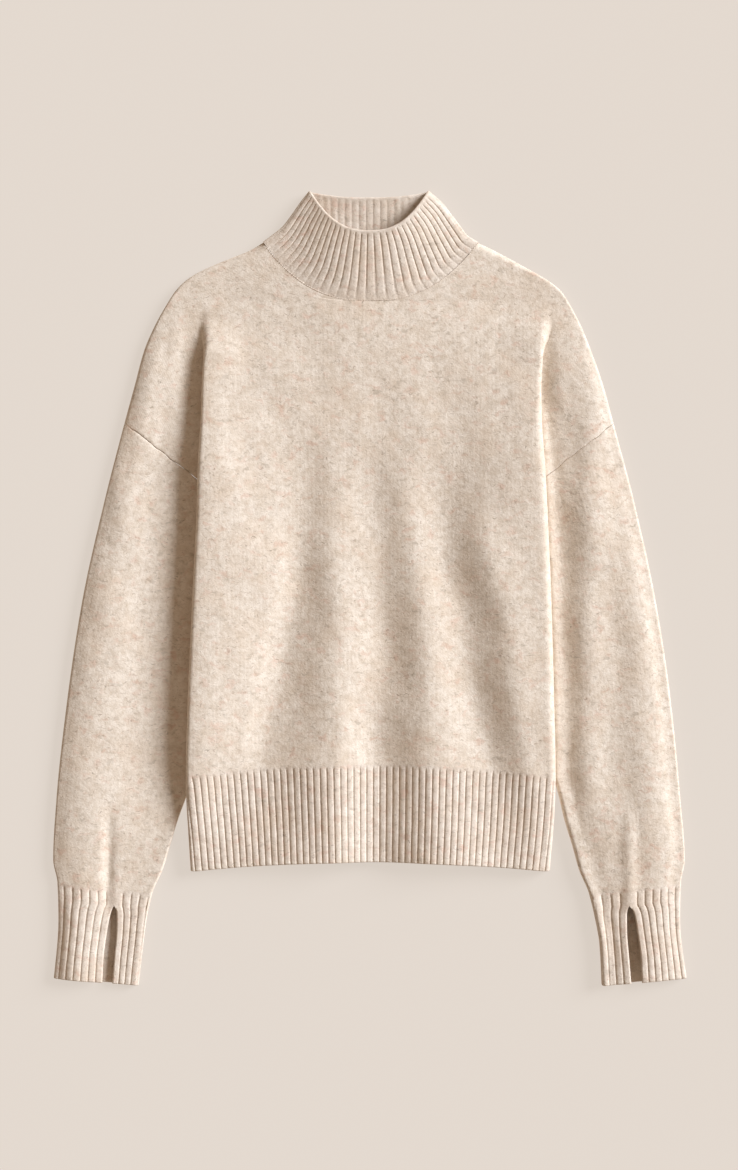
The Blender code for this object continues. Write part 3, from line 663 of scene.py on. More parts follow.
def neck_edge(side, is_back, r):
    """Plan of the neck edge of a panel, for the rows of the shoulder from 0 to 1."""
    if is_back:
        across = np.clip((r - BACK_CLIMB) / (1.0 - BACK_CLIMB), 0.0, 1.0)
        out, y = neck_seam(side, across, SEAM_DIP_BACK)
        climb = mix(NECK_LINE, NECK_CORNER - SEAM_DIP_BACK, np.clip(r / BACK_CLIMB, 0.0, 1.0))
        return np.stack([out, np.where(r < BACK_CLIMB, climb, y)], axis=-1)
    return np.stack(neck_seam(side, r, SEAM_DIP_FRONT), axis=-1)


def shoulder_point(side, is_back, r, c):
    """A point above the neck line: r is 0 along that line and 1 along the shoulder's silhouette."""
    row = body_point(side, is_back, np.full(np.shape(r), NECK_LINE), c)
    last = body_point(side, is_back, np.full(np.shape(r), NECK_LINE), np.full(np.shape(c), 5.0))
    f = row[..., 0] / last[..., 0]
    low = np.stack([SIGN[side] * row[..., 0], row[..., 1]], axis=-1)
    top = silhouette(side, mix(NECK_CORNER, SHOULDER_CORNER, f ** 1.3))
    neck_corner = neck_edge(side, is_back, np.ones(np.shape(r)))[..., 0]
    top[..., 0] = mix(top[..., 0], neck_corner, np.maximum(1.0 - f * 40.0, 0.0))
    outer = silhouette(side, mix(row_end_at(NECK_LINE), SHOULDER_CORNER, r))
    inner = neck_edge(side, is_back, r)
    r2, f2 = r[..., None], f[..., None]
    corner = {}
    for name, place in (("low", 0.0), ("top", 1.0)):
        corner[name + "_in"] = neck_edge(side, is_back, np.full(np.shape(r), place))
        y = mix(row_end_at(NECK_LINE), SHOULDER_CORNER, np.full(np.shape(r), place))
        corner[name + "_out"] = silhouette(side, y)
    blend = mix(low, top, r2) + mix(inner, outer, f2)
    blend = blend - mix(mix(corner["low_in"], corner["low_out"], f2),
                        mix(corner["top_in"], corner["top_out"], f2), r2)
    out, y = blend[..., 0], blend[..., 1]
    height = shoulder_height(side, is_back, out, y)
    step = row[..., 2] - shoulder_height(side, is_back, low[..., 0], low[..., 1])
    height = height + step * (1.0 - r) ** 2
    return np.stack([SIGN[side] * out, y, height], axis=-1)


print("neck seam swings down", SEAM_DIP_FRONT, "mm")

# %% [markdown]
# ## From a middle surface to cloth
# A Solidify modifier gives a wall, but the same wall everywhere. Here the two faces of the cloth
# each have their own distance from the middle, so that ribs can stand on one face only, and a free
# edge can be rounded as a knitted edge is. Grids that share an edge are joined by their places.

# %% Build a wall of cloth
EDGE_STEPS = (0.0, 0.12, 0.35, 0.7, 1.1, 1.7, 2.6)  # rows close to a free edge, in millimetres
THIN = 0.1  # share of the wall that is left at a free edge
SHARP_ANGLE = 60.0  # degrees between two facets from which their edge is shaded sharp
KEYS_PER_MM = 1000.0  # places that round to the same thousandth are one place
KEY_SHIFT = 0.000371  # keeps round numbers away from the border between two keys


def lengths_along(places, axis):
    """Length of cloth from the first row or column of a grid to each of its points."""
    steps = np.linalg.norm(np.diff(places, axis=axis), axis=-1)
    start = np.zeros_like(np.take(steps, [0], axis=axis))
    return np.concatenate([start, np.cumsum(steps, axis=axis)], axis=axis)


def grid_normals(places, closed=False):
    """Unit normals of a grid. The columns of a closed tube end where they started."""
    if closed:
        places = np.concatenate([places[:, -2:-1], places, places[:, 1:2]], axis=1)
    normals = np.cross(np.gradient(places, axis=1), np.gradient(places, axis=0))
    if closed:
        normals = normals[:, 1:-1]
    return normals / np.maximum(np.linalg.norm(normals, axis=-1, keepdims=True), 1e-12)


def patch(places, turned=False, outer=HALF_WALL, inner=HALF_WALL, normals=None):
    """A grid of a middle surface with what it takes to give it two faces."""
    if normals is None:
        normals = grid_normals(places)
    shape = places.shape[:2]
    return {
        "places": places,
        "normals": -normals if turned else normals,
        "outer": np.broadcast_to(outer, shape),
        "inner": np.broadcast_to(inner, shape),
        "cloth": np.stack([lengths_along(places, 1), lengths_along(places, 0)], axis=-1),
        "turned": turned,
    }


def weld(patches):
    """Numbers the points of all patches, with one number for points in the same place."""
    places = np.concatenate([p["places"].reshape(-1, 3) for p in patches])
    keys = np.round((places + KEY_SHIFT) * KEYS_PER_MM).astype(np.int64)
    _, first, number = np.unique(keys, axis=0, return_index=True, return_inverse=True)
    number = number.reshape(-1)

    def gathered(name, width):
        values = np.concatenate([p[name].reshape(-1, width) for p in patches])
        total = np.zeros((len(first), width))
        np.add.at(total, number, values)
        return total / np.bincount(number)[:, None]

    normals = gathered("normals", 3)
    normals /= np.maximum(np.linalg.norm(normals, axis=1, keepdims=True), 1e-12)
    return places[first], normals, gathered("outer", 1), gathered("inner", 1), number


def placed(name, data):
    """A new object in the scene."""
    piece = bpy.data.objects.new(name, data)
    bpy.context.scene.collection.objects.link(piece)
    return piece


def cloth(name, patches, material):
    """One closed wall of cloth from patches that share edges."""
    places, normals, outer, inner, number = weld(patches)
    count = len(places)
    faces, cloth_at = [], []
    offset = 0
    for p in patches:
        rows, columns = p["places"].shape[:2]
        names = number[offset:offset + rows * columns].reshape(rows, columns)
        offset += rows * columns
        corners = [names[:-1, :-1], names[:-1, 1:], names[1:, 1:], names[1:, :-1]]
        uv = [p["cloth"][:-1, :-1], p["cloth"][:-1, 1:], p["cloth"][1:, 1:], p["cloth"][1:, :-1]]
        quads = np.stack(corners, axis=-1).reshape(-1, 4)
        uvs = np.stack(uv, axis=-2).reshape(-1, 4, 2)
        if p["turned"]:
            quads, uvs = quads[:, ::-1], uvs[:, ::-1]
        faces.append(quads)
        cloth_at.append(uvs)
    faces = np.concatenate(faces)
    cloth_at = np.concatenate(cloth_at)
    ends = np.sort(faces, axis=1)
    whole = (np.diff(ends, axis=1) > 0).all(axis=1)
    faces, cloth_at = faces[whole], cloth_at[whole]

    edges = np.concatenate([faces[:, [i, (i + 1) % 4]] for i in range(4)])
    uv_ends = np.concatenate([cloth_at[:, [i, (i + 1) % 4]] for i in range(4)])
    code = edges[:, 0] * count + edges[:, 1]
    free = ~np.isin(code, edges[:, 1] * count + edges[:, 0])
    a, b = edges[free, 0], edges[free, 1]
    rim = np.stack([b, a, a + count, b + count], axis=1)
    rim_uv = uv_ends[free][:, [1, 0, 0, 1]]

    vertices = np.concatenate([places + normals * outer, places - normals * inner])
    solid = np.concatenate([faces, faces[:, ::-1] + count, rim])
    uvs = np.concatenate([cloth_at, cloth_at[:, ::-1], rim_uv])
    mesh = bpy.data.meshes.new(name)
    mesh.from_pydata(((vertices - MIDDLE) * MM).tolist(), [], solid.tolist())
    mesh.uv_layers.new(name="cloth").data.foreach_set("uv", (uvs * MM).ravel())
    mesh.shade_smooth()
    mesh.set_sharp_from_angle(angle=math.radians(SHARP_ANGLE))
    mesh.materials.append(material)
    area = sum(face.area for face in mesh.polygons[:len(faces)])
    print(f"{name}: {2 * len(solid):,} triangles, {area:.4f} square metres of cloth")
    return placed(name, mesh)


def rounded(distance, radius=HALF_WALL):
    """Share of the thickness that is left close to a free edge, where the cloth is rounded off."""
    rest = 1.0 - np.clip(distance / radius, 0.0, 1.0)
    return np.maximum(np.sqrt(np.clip(1.0 - rest * rest, 0.0, 1.0)), THIN)


def near(start, stop, step, steps=EDGE_STEPS):
    """Values from a free edge at start to stop: close together first, then a step apart."""
    direction = math.copysign(1.0, stop - start)
    first = start + direction * np.array(steps)
    rest = np.linspace(first[-1], stop, max(2, round(abs(stop - first[-1]) / step) + 1))
    return np.concatenate([first[:-1], rest])


print("free edges are rounded over", HALF_WALL, "mm")

# %% [markdown]
# ## Felted wool
# The yarn is wool of several natural shades, blended before it was spun: cream, sand, a little grey
# and rose. Washing has felted it, so the stitches hardly show, the surface is dull and soft, and
# what the eye sees is a mottled, heathered colour with single darker hairs in it. Three sizes of
# noise give the blend, and thin stretched noise gives the hairs.

# %% Nodes and colours
def linear(hex_colour):
    """sRGB hex to the linear colour that a shader takes."""
    parts = [int(hex_colour[i:i + 2], 16) / 255.0 for i in (1, 3, 5)]
    return (*[v / 12.92 if v <= 0.04045 else ((v + 0.055) / 1.055) ** 2.4 for v in parts], 1.0)


def add(tree, kind, settings=None, links=None):
    """Adds a node, sets its fields and sockets, and joins its inputs to other nodes' outputs."""
    node = tree.nodes.new(kind)
    for name, value in (settings or {}).items():
        if isinstance(name, str) and hasattr(node, name):
            setattr(node, name, value)
        else:
            node.inputs[name].default_value = value
    for name, output in (links or {}).items():
        tree.links.new(output, node.inputs[name])
    return node


def ramp(tree, factor, stops):
    """A colour ramp with stops of (place, hex colour)."""
    node = add(tree, "ShaderNodeValToRGB", links={"Fac": factor})
    elements = node.color_ramp.elements
    while len(elements) < len(stops):
        elements.new(0.5)
    for element, (place, colour) in zip(elements, stops):
        element.position = place
        element.color = linear(colour)
    return node.outputs["Color"]


def blended(tree, factor, a, b):
    """Mixes two colours, each an output or a hex colour, by a factor that is an output or number."""
    node = add(tree, "ShaderNodeMix", {"data_type": "RGBA"})
    for slot, value in ((0, factor), (6, a), (7, b)):
        if isinstance(value, str):
            node.inputs[slot].default_value = linear(value)
        elif isinstance(value, float):
            node.inputs[slot].default_value = value
        else:
            tree.links.new(value, node.inputs[slot])
    return node.outputs[2]


print("oatmeal in linear colour:", [round(v, 3) for v in linear("#E2D2BE")])

# %% The wool's material
PER_METRE = 1000.0  # noise scales are one over a size, and the shader's coordinates are metres


def speckle(tree, where, size, stretch=(1.0, 1.0, 1.0), turn=0.0, detail=2.0, roughness=0.5):
    """Noise with features of a size in millimetres, stretched along its own axes and turned."""
    mapping = add(tree, "ShaderNodeMapping", links={"Vector": where})
    mapping.inputs["Rotation"].default_value = (0.0, 0.0, math.radians(turn))
    mapping.inputs["Scale"].default_value = tuple(PER_METRE / size / s for s in stretch)
    noise = add(tree, "ShaderNodeTexNoise",
                {"Scale": 1.0, "Detail": detail, "Roughness": roughness},
                {"Vector": mapping.outputs["Vector"]})
    return noise.outputs["Fac"]


def warped(tree, where, size, amount):
    """Coordinates that wander by an amount in millimetres, over a distance of a size."""
    noise = add(tree, "ShaderNodeTexNoise", {"Scale": PER_METRE / size, "Detail": 1.0}, {"Vector": where})
    away = add(tree, "ShaderNodeVectorMath", {"operation": "SUBTRACT", 1: (0.5, 0.5, 0.5)},
               {0: noise.outputs["Color"]})
    return add(tree, "ShaderNodeVectorMath", {"operation": "MULTIPLY_ADD", 1: (amount / PER_METRE,) * 3},
               {0: away.outputs[0], 2: where}).outputs[0]


def band(tree, value, low, high):
    """0 below low and 1 above high."""
    return add(tree, "ShaderNodeMapRange", {"From Min": low, "From Max": high},
               {"Value": value}).outputs["Result"]


def scaled(tree, value, factor):
    return add(tree, "ShaderNodeMath", {"operation": "MULTIPLY", 1: factor}, {0: value}).outputs[0]


def total(tree, a, b):
    return add(tree, "ShaderNodeMath", {"operation": "ADD"}, {0: a, 1: b}).outputs[0]


def felted_wool(name, light, mid, wale):
    """Felted, heathered lambswool. wale is half the pitch of its fine lines in millimetres."""
    material = bpy.data.materials.new(name)
    material.use_nodes = True
    tree = material.node_tree
    shader = tree.nodes["Principled BSDF"]
    where = add(tree, "ShaderNodeTexCoord").outputs["Object"]
    cloth_uv = add(tree, "ShaderNodeUVMap", {"uv_map": "cloth"}).outputs["UV"]

    # The blend of shades: soft clouds, mottles a few stitches wide, and single stitches.
    clouds = speckle(tree, where, 26.0, detail=1.0)
    mottle = speckle(tree, where, 6.5, detail=3.0, roughness=0.6)
    stitches = speckle(tree, where, 2.4, detail=2.0)
    colour = ramp(tree, mottle, ((0.30, mid), (0.62, light)))
    colour = blended(tree, scaled(tree, band(tree, clouds, 0.45, 0.75), 0.35), colour, "#D9C3AB")
    colour = blended(tree, scaled(tree, band(tree, stitches, 0.52, 0.78), 0.45), colour, "#C4B299")

    # Rose and grey fibres gather in small tufts, which curl.
    curled = warped(tree, where, 7.0, 9.0)
    rose = speckle(tree, curled, 8.5, (1.3, 0.8, 1.0), turn=30.0, detail=2.0)
    colour = blended(tree, scaled(tree, band(tree, rose, 0.57, 0.74), 0.45), colour, "#CFA892")
    grey = speckle(tree, curled, 5.5, (1.5, 0.75, 1.0), turn=-20.0, detail=2.0)
    colour = blended(tree, scaled(tree, band(tree, grey, 0.59, 0.74), 0.45), colour, "#A59886")

    # Single darker hairs, about 5 mm long, in three directions. They are drawn 0.8 mm wide, which
    # is coarser than a hair, because a true one is too fine to show.
    strands = ((15.0, "#8F7C68", 0.6), (75.0, "#9A7F6C", 0.55), (135.0, "#857764", 0.55))
    for turn, shade, amount in strands:
        hairs = speckle(tree, curled, 1.1, (5.0, 0.75, 3.0), turn, detail=1.0)
        colour = blended(tree, scaled(tree, band(tree, hairs, 0.67, 0.78), amount), colour, shade)
    tree.links.new(colour, shader.inputs["Base Color"])

    # Fine lines of stitches, softened by the felting, and the pile on top. Blender's wave texture
    # turns by 20 radians a unit at scale 1. Here it turns by pi a wale: one line to every two.
    lines = add(tree, "ShaderNodeTexWave",
                {"wave_type": "BANDS", "bands_direction": "X",
                 "Scale": PER_METRE / wale / 20.0 * math.pi,
                 "Distortion": 1.2, "Detail": 1.0, "Detail Scale": 2.0},
                {"Vector": cloth_uv}).outputs["Fac"]
    pile = speckle(tree, where, 1.3, detail=3.0, roughness=0.6)
    tufts = speckle(tree, where, 3.4, detail=2.0)
    height = total(tree, scaled(tree, lines, 0.09), scaled(tree, pile, 0.9))
    height = total(tree, height, scaled(tree, tufts, 1.1))
    bump = add(tree, "ShaderNodeBump", {"Strength": 0.55, "Distance": 0.0005}, {"Height": height})
    tree.links.new(bump.outputs["Normal"], shader.inputs["Normal"])

    finish = {"Roughness": 0.95, "Metallic": 0.0, "IOR": 1.45, "Specular IOR Level": 0.15,
              "Sheen Weight": 0.30, "Sheen Roughness": 0.6, "Sheen Tint": linear("#FFE9D4")}
    for socket, value in finish.items():
        shader.inputs[socket].default_value = value
    return material


jersey = felted_wool("felted_lambswool_jersey", light="#E9DDCE", mid="#D5C6B4", wale=1.8)
rib_wool = felted_wool("felted_lambswool_rib", light="#E6DACC", mid="#D3C4B4", wale=1.6)
print("materials:", jersey.name, "and", rib_wool.name)

# %% [markdown]
# ## Front and back
# One grid of rows and columns runs over the body down to the bottom of the hem. The panel takes
# the rows above the hem line and the rib takes those below it, so the two meet with no step.

# %% Rows and columns of the body
FRONT_STEP = 2.7  # size of the front's facets, in millimetres
BACK_STEP = 4.6
SEAM_STEPS = (0.0, 0.2, 0.5, 0.9, 1.5, 2.4, 3.6)  # rows close to a sewn seam
SEAM_DROP = 0.4  # how deep a sewn seam pulls the cloth down
SEAM_WIDTH = 1.3
SEAM_ROUND = 0.9  # how far the edges of two panels round off into their seam
SEAM_SLANT = 0.75  # steps away from the slanting armhole seam are this share of steps in y
SWAY_REACH = 6.0  # how far from a seam its line's sway still shows
SWAYS = ((0.40, 3.1, 0.0), (0.30, 1.9, 1.0), (0.35, 7.0, 0.0))  # size, mm to a radian, start

# Lengths of cloth that set how many columns each part of a half gets.
CHEST_CLOTH = 150.0
NOSE_CLOTH = 38.0
TUCK_CLOTH = 70.0
PRESSED_CLOTH = 50.0
PLEAT_CLOTH = 80.0


def spread(stops, counts):
    """Columns between stops, with a number of steps in each part."""
    parts = [np.linspace(a, b, n, endpoint=False) for a, b, n in zip(stops, stops[1:], counts)]
    return np.concatenate([*parts, [stops[-1]]])


def body_columns(step):
    """Columns of the core, 0 to 3, and of the pleat, 3 to 5. Hidden cloth gets half as many."""
    core = spread((0.0, 1.0, 2.0, 3.0),
                  (round(CHEST_CLOTH / step), round(NOSE_CLOTH / step), round(TUCK_CLOTH / step / 2.0)))
    pleat = spread((3.0, 4.0, 4.0 + PLEAT_PRESSED, 4.9, 4.97, 5.0),
                   (4, round(PRESSED_CLOTH / step / 2.0), round(PLEAT_CLOTH / step), 3, 3))
    return core, pleat


def seam_pull(distance):
    """How deep the cloth is pulled at a distance from a seam."""
    return SEAM_DROP * np.exp(-((distance / SEAM_WIDTH) ** 2))


def seam_sway(x, distance):
    """How far the stitches draw the line of a seam to and fro along the panel."""
    sway = sum(size * np.sin(x / radian + start) for size, radian, start in SWAYS)
    return sway * np.exp(-((distance / SWAY_REACH) ** 2))


def grid(point, side, is_back, rows, columns):
    """Places of a surface of the body at every row and column."""
    r, c = np.meshgrid(rows, columns, indexing="ij")
    return point(side, is_back, r, c)


print("columns of half a front, core and pleat:", [len(part) for part in body_columns(FRONT_STEP)])

# %% Make the front and the back
def body_panel(name, is_back, step, material):
    core, pleat = body_columns(step)
    lower = np.arange(HEM_LINE, UNDERARM - 0.6 * step, step)
    armhole = near(UNDERARM, FULL_ROLL, step, SEAM_STEPS)
    upper = np.linspace(FULL_ROLL, NECK_LINE, round((NECK_LINE - FULL_ROLL) / step * 1.3))[1:]
    pleat_rows = np.concatenate([armhole, upper])
    shoulder_rows = spread((0.0, 0.9, 1.0), (round(42.0 / step), round(12.0 / step)))
    patches = []
    for side in (0, 1):
        turned = side == 0
        # A row beyond the hem line gives the last row its true normals and is then dropped.
        ghost = np.concatenate([[HEM_LINE - step], lower, pleat_rows])
        places = grid(body_point, side, is_back, ghost, core)
        normals = grid_normals(places)
        patches.append(patch(places[1:], turned, normals=normals[1:]))
        places = grid(body_point, side, is_back, pleat_rows, pleat)
        outer = np.full(places.shape[:2], HALF_WALL)
        if not is_back:
            distance = (pleat_rows - UNDERARM)[:, None] * SEAM_SLANT
            free = smooth((pleat - 4.2) / 0.2)[None, :]
            places[..., 2] -= seam_pull(distance) * free
            places[..., 1] += seam_sway(places[..., 0], distance) * free
            outer = outer * mix(1.0, rounded(distance, SEAM_ROUND), free)
        patches.append(patch(places, turned, outer=outer))
        columns = np.concatenate([core[:-1], pleat])
        places = grid(shoulder_point, side, is_back, shoulder_rows, columns)
        patches.append(patch(places, turned))
    return cloth(name, patches, material)


front = body_panel("front", False, FRONT_STEP, jersey)
back = body_panel("back", True, BACK_STEP, jersey)

# %% [markdown]
# ## The hem rib
# A rib is knitted in columns that stand out with narrow grooves between them. They are real
# relief here, because a bump map would leave the edges straight and the grooves without shade.
# Each row of the grid puts the same number of points on every rib, and a point always falls in the
# bottom of a groove, so that the grooves stay crisp.

# %% Ribs
RIB_PITCH = 6.5
RIB_POINTS = 8  # points across one rib
RIB_TOP = 1.2  # distance of a rib's top from the middle of the cloth, on the side that shows
RIB_DEPTH = 1.0  # depth of the groove
RIB_REVERSE = 0.4  # depth of the grooves on the other side
RIB_ROUND = 1.2  # radius that the free edge of a rib is rounded with
RIB_FLATNESS = 0.3  # 1 would make the ribs half waves, less makes them flatter on top


def rib_wave(phase):
    """0 in the groove between two ribs and 1 on top of a rib."""
    return np.abs(np.sin(math.pi * phase)) ** RIB_FLATNESS


def rib_columns(point, rows, stops, ribs, points=RIB_POINTS, lean=0.0):
    """Columns row by row, and the number of the rib at each, with ribs evenly spaced on the cloth.

    point is a surface, stops are columns and ribs are the numbers of ribs between them. lean draws
    the ribs of the lower rows together toward the first column.
    """
    phase = spread(np.concatenate([[0.0], np.cumsum(ribs)]), [round(n * points) for n in ribs])
    part = np.clip(np.searchsorted(np.cumsum(ribs), phase, side="left"), 0, len(ribs) - 1)
    starts = np.concatenate([[0.0], np.cumsum(ribs)])
    share = (phase - starts[part]) / np.array(ribs)[part]
    columns = np.zeros((len(rows), len(phase)))
    for k in range(len(ribs)):
        dense = np.linspace(stops[k], stops[k + 1], 400)
        r, c = np.meshgrid(rows, dense, indexing="ij")
        length = lengths_along(point(r, c), 1)
        here = part == k
        for i, down in enumerate(np.linspace(0.0, 1.0, len(rows))):
            wanted = share[here] * length[i, -1]
            wanted = wanted * (1.0 - lean * down * np.sin(math.pi * share[here]))
            columns[i, here] = np.interp(wanted, length[i], dense)
    return columns, phase


HEM_RIBS = 40.5  # ribs from the centre of the front to the hidden side seam
HEM_LEAN = 0.02
HEM_STARTS = (0.02, 0.8, 1.8, 3.0, 4.4)  # rows where the ribs rise out of the plain cloth
STARTS_END = 6.0  # below the seam, where the other rows take over


def rib_start(below):
    """0 in the plain cloth at a seam and 1 where the ribs are whole, some way below it."""
    return smooth((below - 0.4) / 4.0)


def ribbed(phase, begun, top, depth):
    """Distance of a ribbed face from the middle of the cloth. begun is 0 where it is still plain."""
    return mix(HALF_WALL, top - depth * (1.0 - rib_wave(phase)), begun)


def hem(name, is_back, points, step, material):
    """The rib below one panel. Its rows run down from the hem line."""
    low = HEM_EDGE + (BACK_SHORTER if is_back else 0.0)
    starts = HEM_LINE - np.array(HEM_STARTS)
    rows = np.concatenate([[HEM_LINE + step], starts, near(low, HEM_LINE - STARTS_END, step)[::-1]])
    patches = []
    for side in (0, 1):
        def point(y, c, side=side):
            return body_point(side, is_back, y, c)

        columns, phase = rib_columns(point, rows, (0.0, 3.0), (HEM_RIBS,), points, HEM_LEAN)
        places = point(np.repeat(rows[:, None], columns.shape[1], axis=1), columns)
        normals = grid_normals(places)[1:]
        begun = rib_start(HEM_LINE - rows[1:])[:, None]
        left = rounded(rows[1:] - low, RIB_ROUND)[:, None]
        shown = ribbed(phase + 0.5, begun, HALF_WALL if is_back else RIB_TOP, RIB_DEPTH) * left
        hidden = ribbed(phase, begun, HALF_WALL, RIB_REVERSE) * left
        faces = (hidden, shown) if is_back else (shown, hidden)
        patches.append(patch(places[1:], side == 1, outer=faces[0], inner=faces[1], normals=normals))
    return cloth(name, patches, material)


hem_front = hem("hem_front", False, RIB_POINTS, 3.0, rib_wool)
hem_back = hem("hem_back", True, 6, 3.6, rib_wool)

# %% [markdown]
# ## Sleeves
# A full sleeve is one tube from the slanted armhole seam to the cuff. Its rows slant too, because
# the seam does, and every row runs over the upper side to the inner edge and back along the table.

# %% A place on a sleeve or a cuff
ARM_PRESSED = 0.6  # share of a sleeve's columns outside the edge of the body
SLEEVE_SEAM = 152.0  # y on the silhouette where the sleeve starts
CUFF_LINE = -271.0  # y on the silhouette where the cuff starts
CUFF_EDGE = -358.5  # y on the silhouette where it ends

# Rows of the sleeve and cuff run from the silhouette (y) to the inner edge (y there).
ARM_ROWS = (
    (152.0, 39.6),
    (-271.0, -280.0),
    (-358.5, -365.0),
)
arm_inner_y = curve(ARM_ROWS, 1)


def arm_ends(side, y_outer):
    """Reach and y of both ends of a row across the arm."""
    y_inner = arm_inner_y(y_outer)
    reach = middle_reach(side, y_outer)
    inner = inner_of[side](y_inner) + HALF_WALL / tilt_of(inner_of[side], y_inner)
    return reach, inner, y_inner


def arm_point(side, y_outer, a, start=0.0, stop=1.0):
    """A point of the sleeve or cuff tube.

    a is 0 at the silhouette, runs over the upper side to the inner edge at 1 and back along the
    table to 2. start and stop shorten the upper side's way across the row.
    """
    reach, inner, y_inner = arm_ends(side, y_outer)
    over = a <= 1.0
    y_body = mix(y_outer, y_inner, 0.5)
    pressed = np.maximum((reach - edge_of[side](y_body) + PRESS) / (reach - inner), 0.3)
    pressed = mix(np.minimum(pressed, 0.92), ARM_PRESSED, smooth((pressed - 0.92) / 0.4))
    f = bent(np.where(over, mix(start, stop, a), 2.0 - a), ARM_PRESSED, pressed)
    out = mix(reach, inner, f)
    y = mix(y_outer, y_inner, f)
    under, upper = table_plies(side, out, y, 0.0)
    tilt = tilt_of(inner_of[side], y)
    inside = (out - inner_of[side](y)) * tilt - HALF_WALL
    under, upper = pinch(under, upper, np.maximum(inside, 0.0), 0.0)
    return np.stack([SIGN[side] * out, y, np.where(over, upper, under)], axis=-1)


print("middle of the right sleeve:", np.round(arm_point(0, np.array(-60.0), np.array(0.5)), 1))

# %% Make the sleeves
SLEEVE_STEP = 2.8
ARM_STOPS = (0.0, 0.02, 0.08, ARM_PRESSED, 0.93, 0.985, 1.0, 1.015, 1.07, 1.4, 1.92, 1.98, 2.0)
ARM_COUNTS = (6, 4, 26, 8, 4, 5, 5, 4, 6, 14, 4, 6)


def sleeve(side, material):
    first = SLEEVE_SEAM - SEAM_GAP
    rows = near(first, CUFF_LINE, SLEEVE_STEP, SEAM_STEPS)
    rows = np.append(rows, CUFF_LINE - SLEEVE_STEP)
    columns = spread(ARM_STOPS, ARM_COUNTS)
    y_outer, a = np.meshgrid(rows, columns, indexing="ij")
    places = arm_point(side, y_outer, a)
    distance = (SLEEVE_SEAM - y_outer) * SEAM_SLANT
    free = smooth((a - 0.02) / 0.08) * (a < 1.0)
    places[..., 2] -= seam_pull(distance) * free
    places[..., 1] += seam_sway(places[..., 0], distance) * free
    outer = HALF_WALL * mix(1.0, rounded(distance, SEAM_ROUND), free)[:-1]
    normals = grid_normals(places, closed=True)[:-1]
    patches = [patch(places[:-1], side == 0, outer=outer, normals=normals)]
    return cloth(SIDE_NAMES[side] + "_arm", patches, material)


sleeves = [sleeve(side, jersey) for side in (0, 1)]

# %% [markdown]
# ## Cuffs
# Each cuff is a ribbed tube with a slit in its upper side. A plain edge half a rib wide runs down
# both sides of the slit, and the ribs lean away from it. The columns start and end at the slit, so
# the ribs follow it by themselves: above the slit both ends lie in one place and are joined, and
# below it they part.

# %% Make the cuffs
# Slit in the upper side of the cuff: y, right outer side, right inner, left outer, left inner.
SLIT = (
    (-290.5, 234.8, 234.8, 238.7, 238.7),
    (-293.0, 236.4, 233.6, 240.7, 237.4),
    (-299.0, 238.4, 232.7, 243.3, 236.5),
    (-312.0, 241.0, 232.9, 245.6, 236.6),
    (-340.0, 244.7, 235.2, 249.3, 238.7),
    (-366.0, 246.0, 237.0, 250.6, 241.0),
)
CUFF_RIBS = (4.5, 12.5, 7.0)  # ribs from the slit to the inner edge, under the cuff and back
CUFF_STEP = 2.8  # size of the cuff's facets
SLIT_STEP = 1.3  # the same round the top of the slit
SLIT_FINE = 32.0  # below the seam, where the fine rows end
slit_outer_of = curve(SLIT, 1), curve(SLIT, 3)
slit_inner_of = curve(SLIT, 2), curve(SLIT, 4)


def share_of_row(side, y_outer, slit):
    """Share of the row from the silhouette to the inner edge where a side of the slit lies."""
    reach, inner, y_inner = arm_ends(side, y_outer)
    return (reach - slit((y_outer + y_inner) / 2.0)) / (reach - inner)


def cuff_point(side, y_outer, a):
    """a is 0 at the slit's inner side, 1 at the inner edge, 2 at the silhouette, 3 at the slit."""
    inner_side = share_of_row(side, y_outer, slit_inner_of[side])
    outer_side = share_of_row(side, y_outer, slit_outer_of[side])
    first = arm_point(side, y_outer, np.clip(a, 0.0, 1.0), start=inner_side)
    under = arm_point(side, y_outer, np.clip(a, 1.0001, 2.0))
    last = arm_point(side, y_outer, np.clip(a - 2.0, 0.0, 1.0), stop=outer_side)
    over = np.where((a <= 1.0)[..., None], first, last)
    return np.where(((a > 1.0) & (a < 2.0))[..., None], under, over)


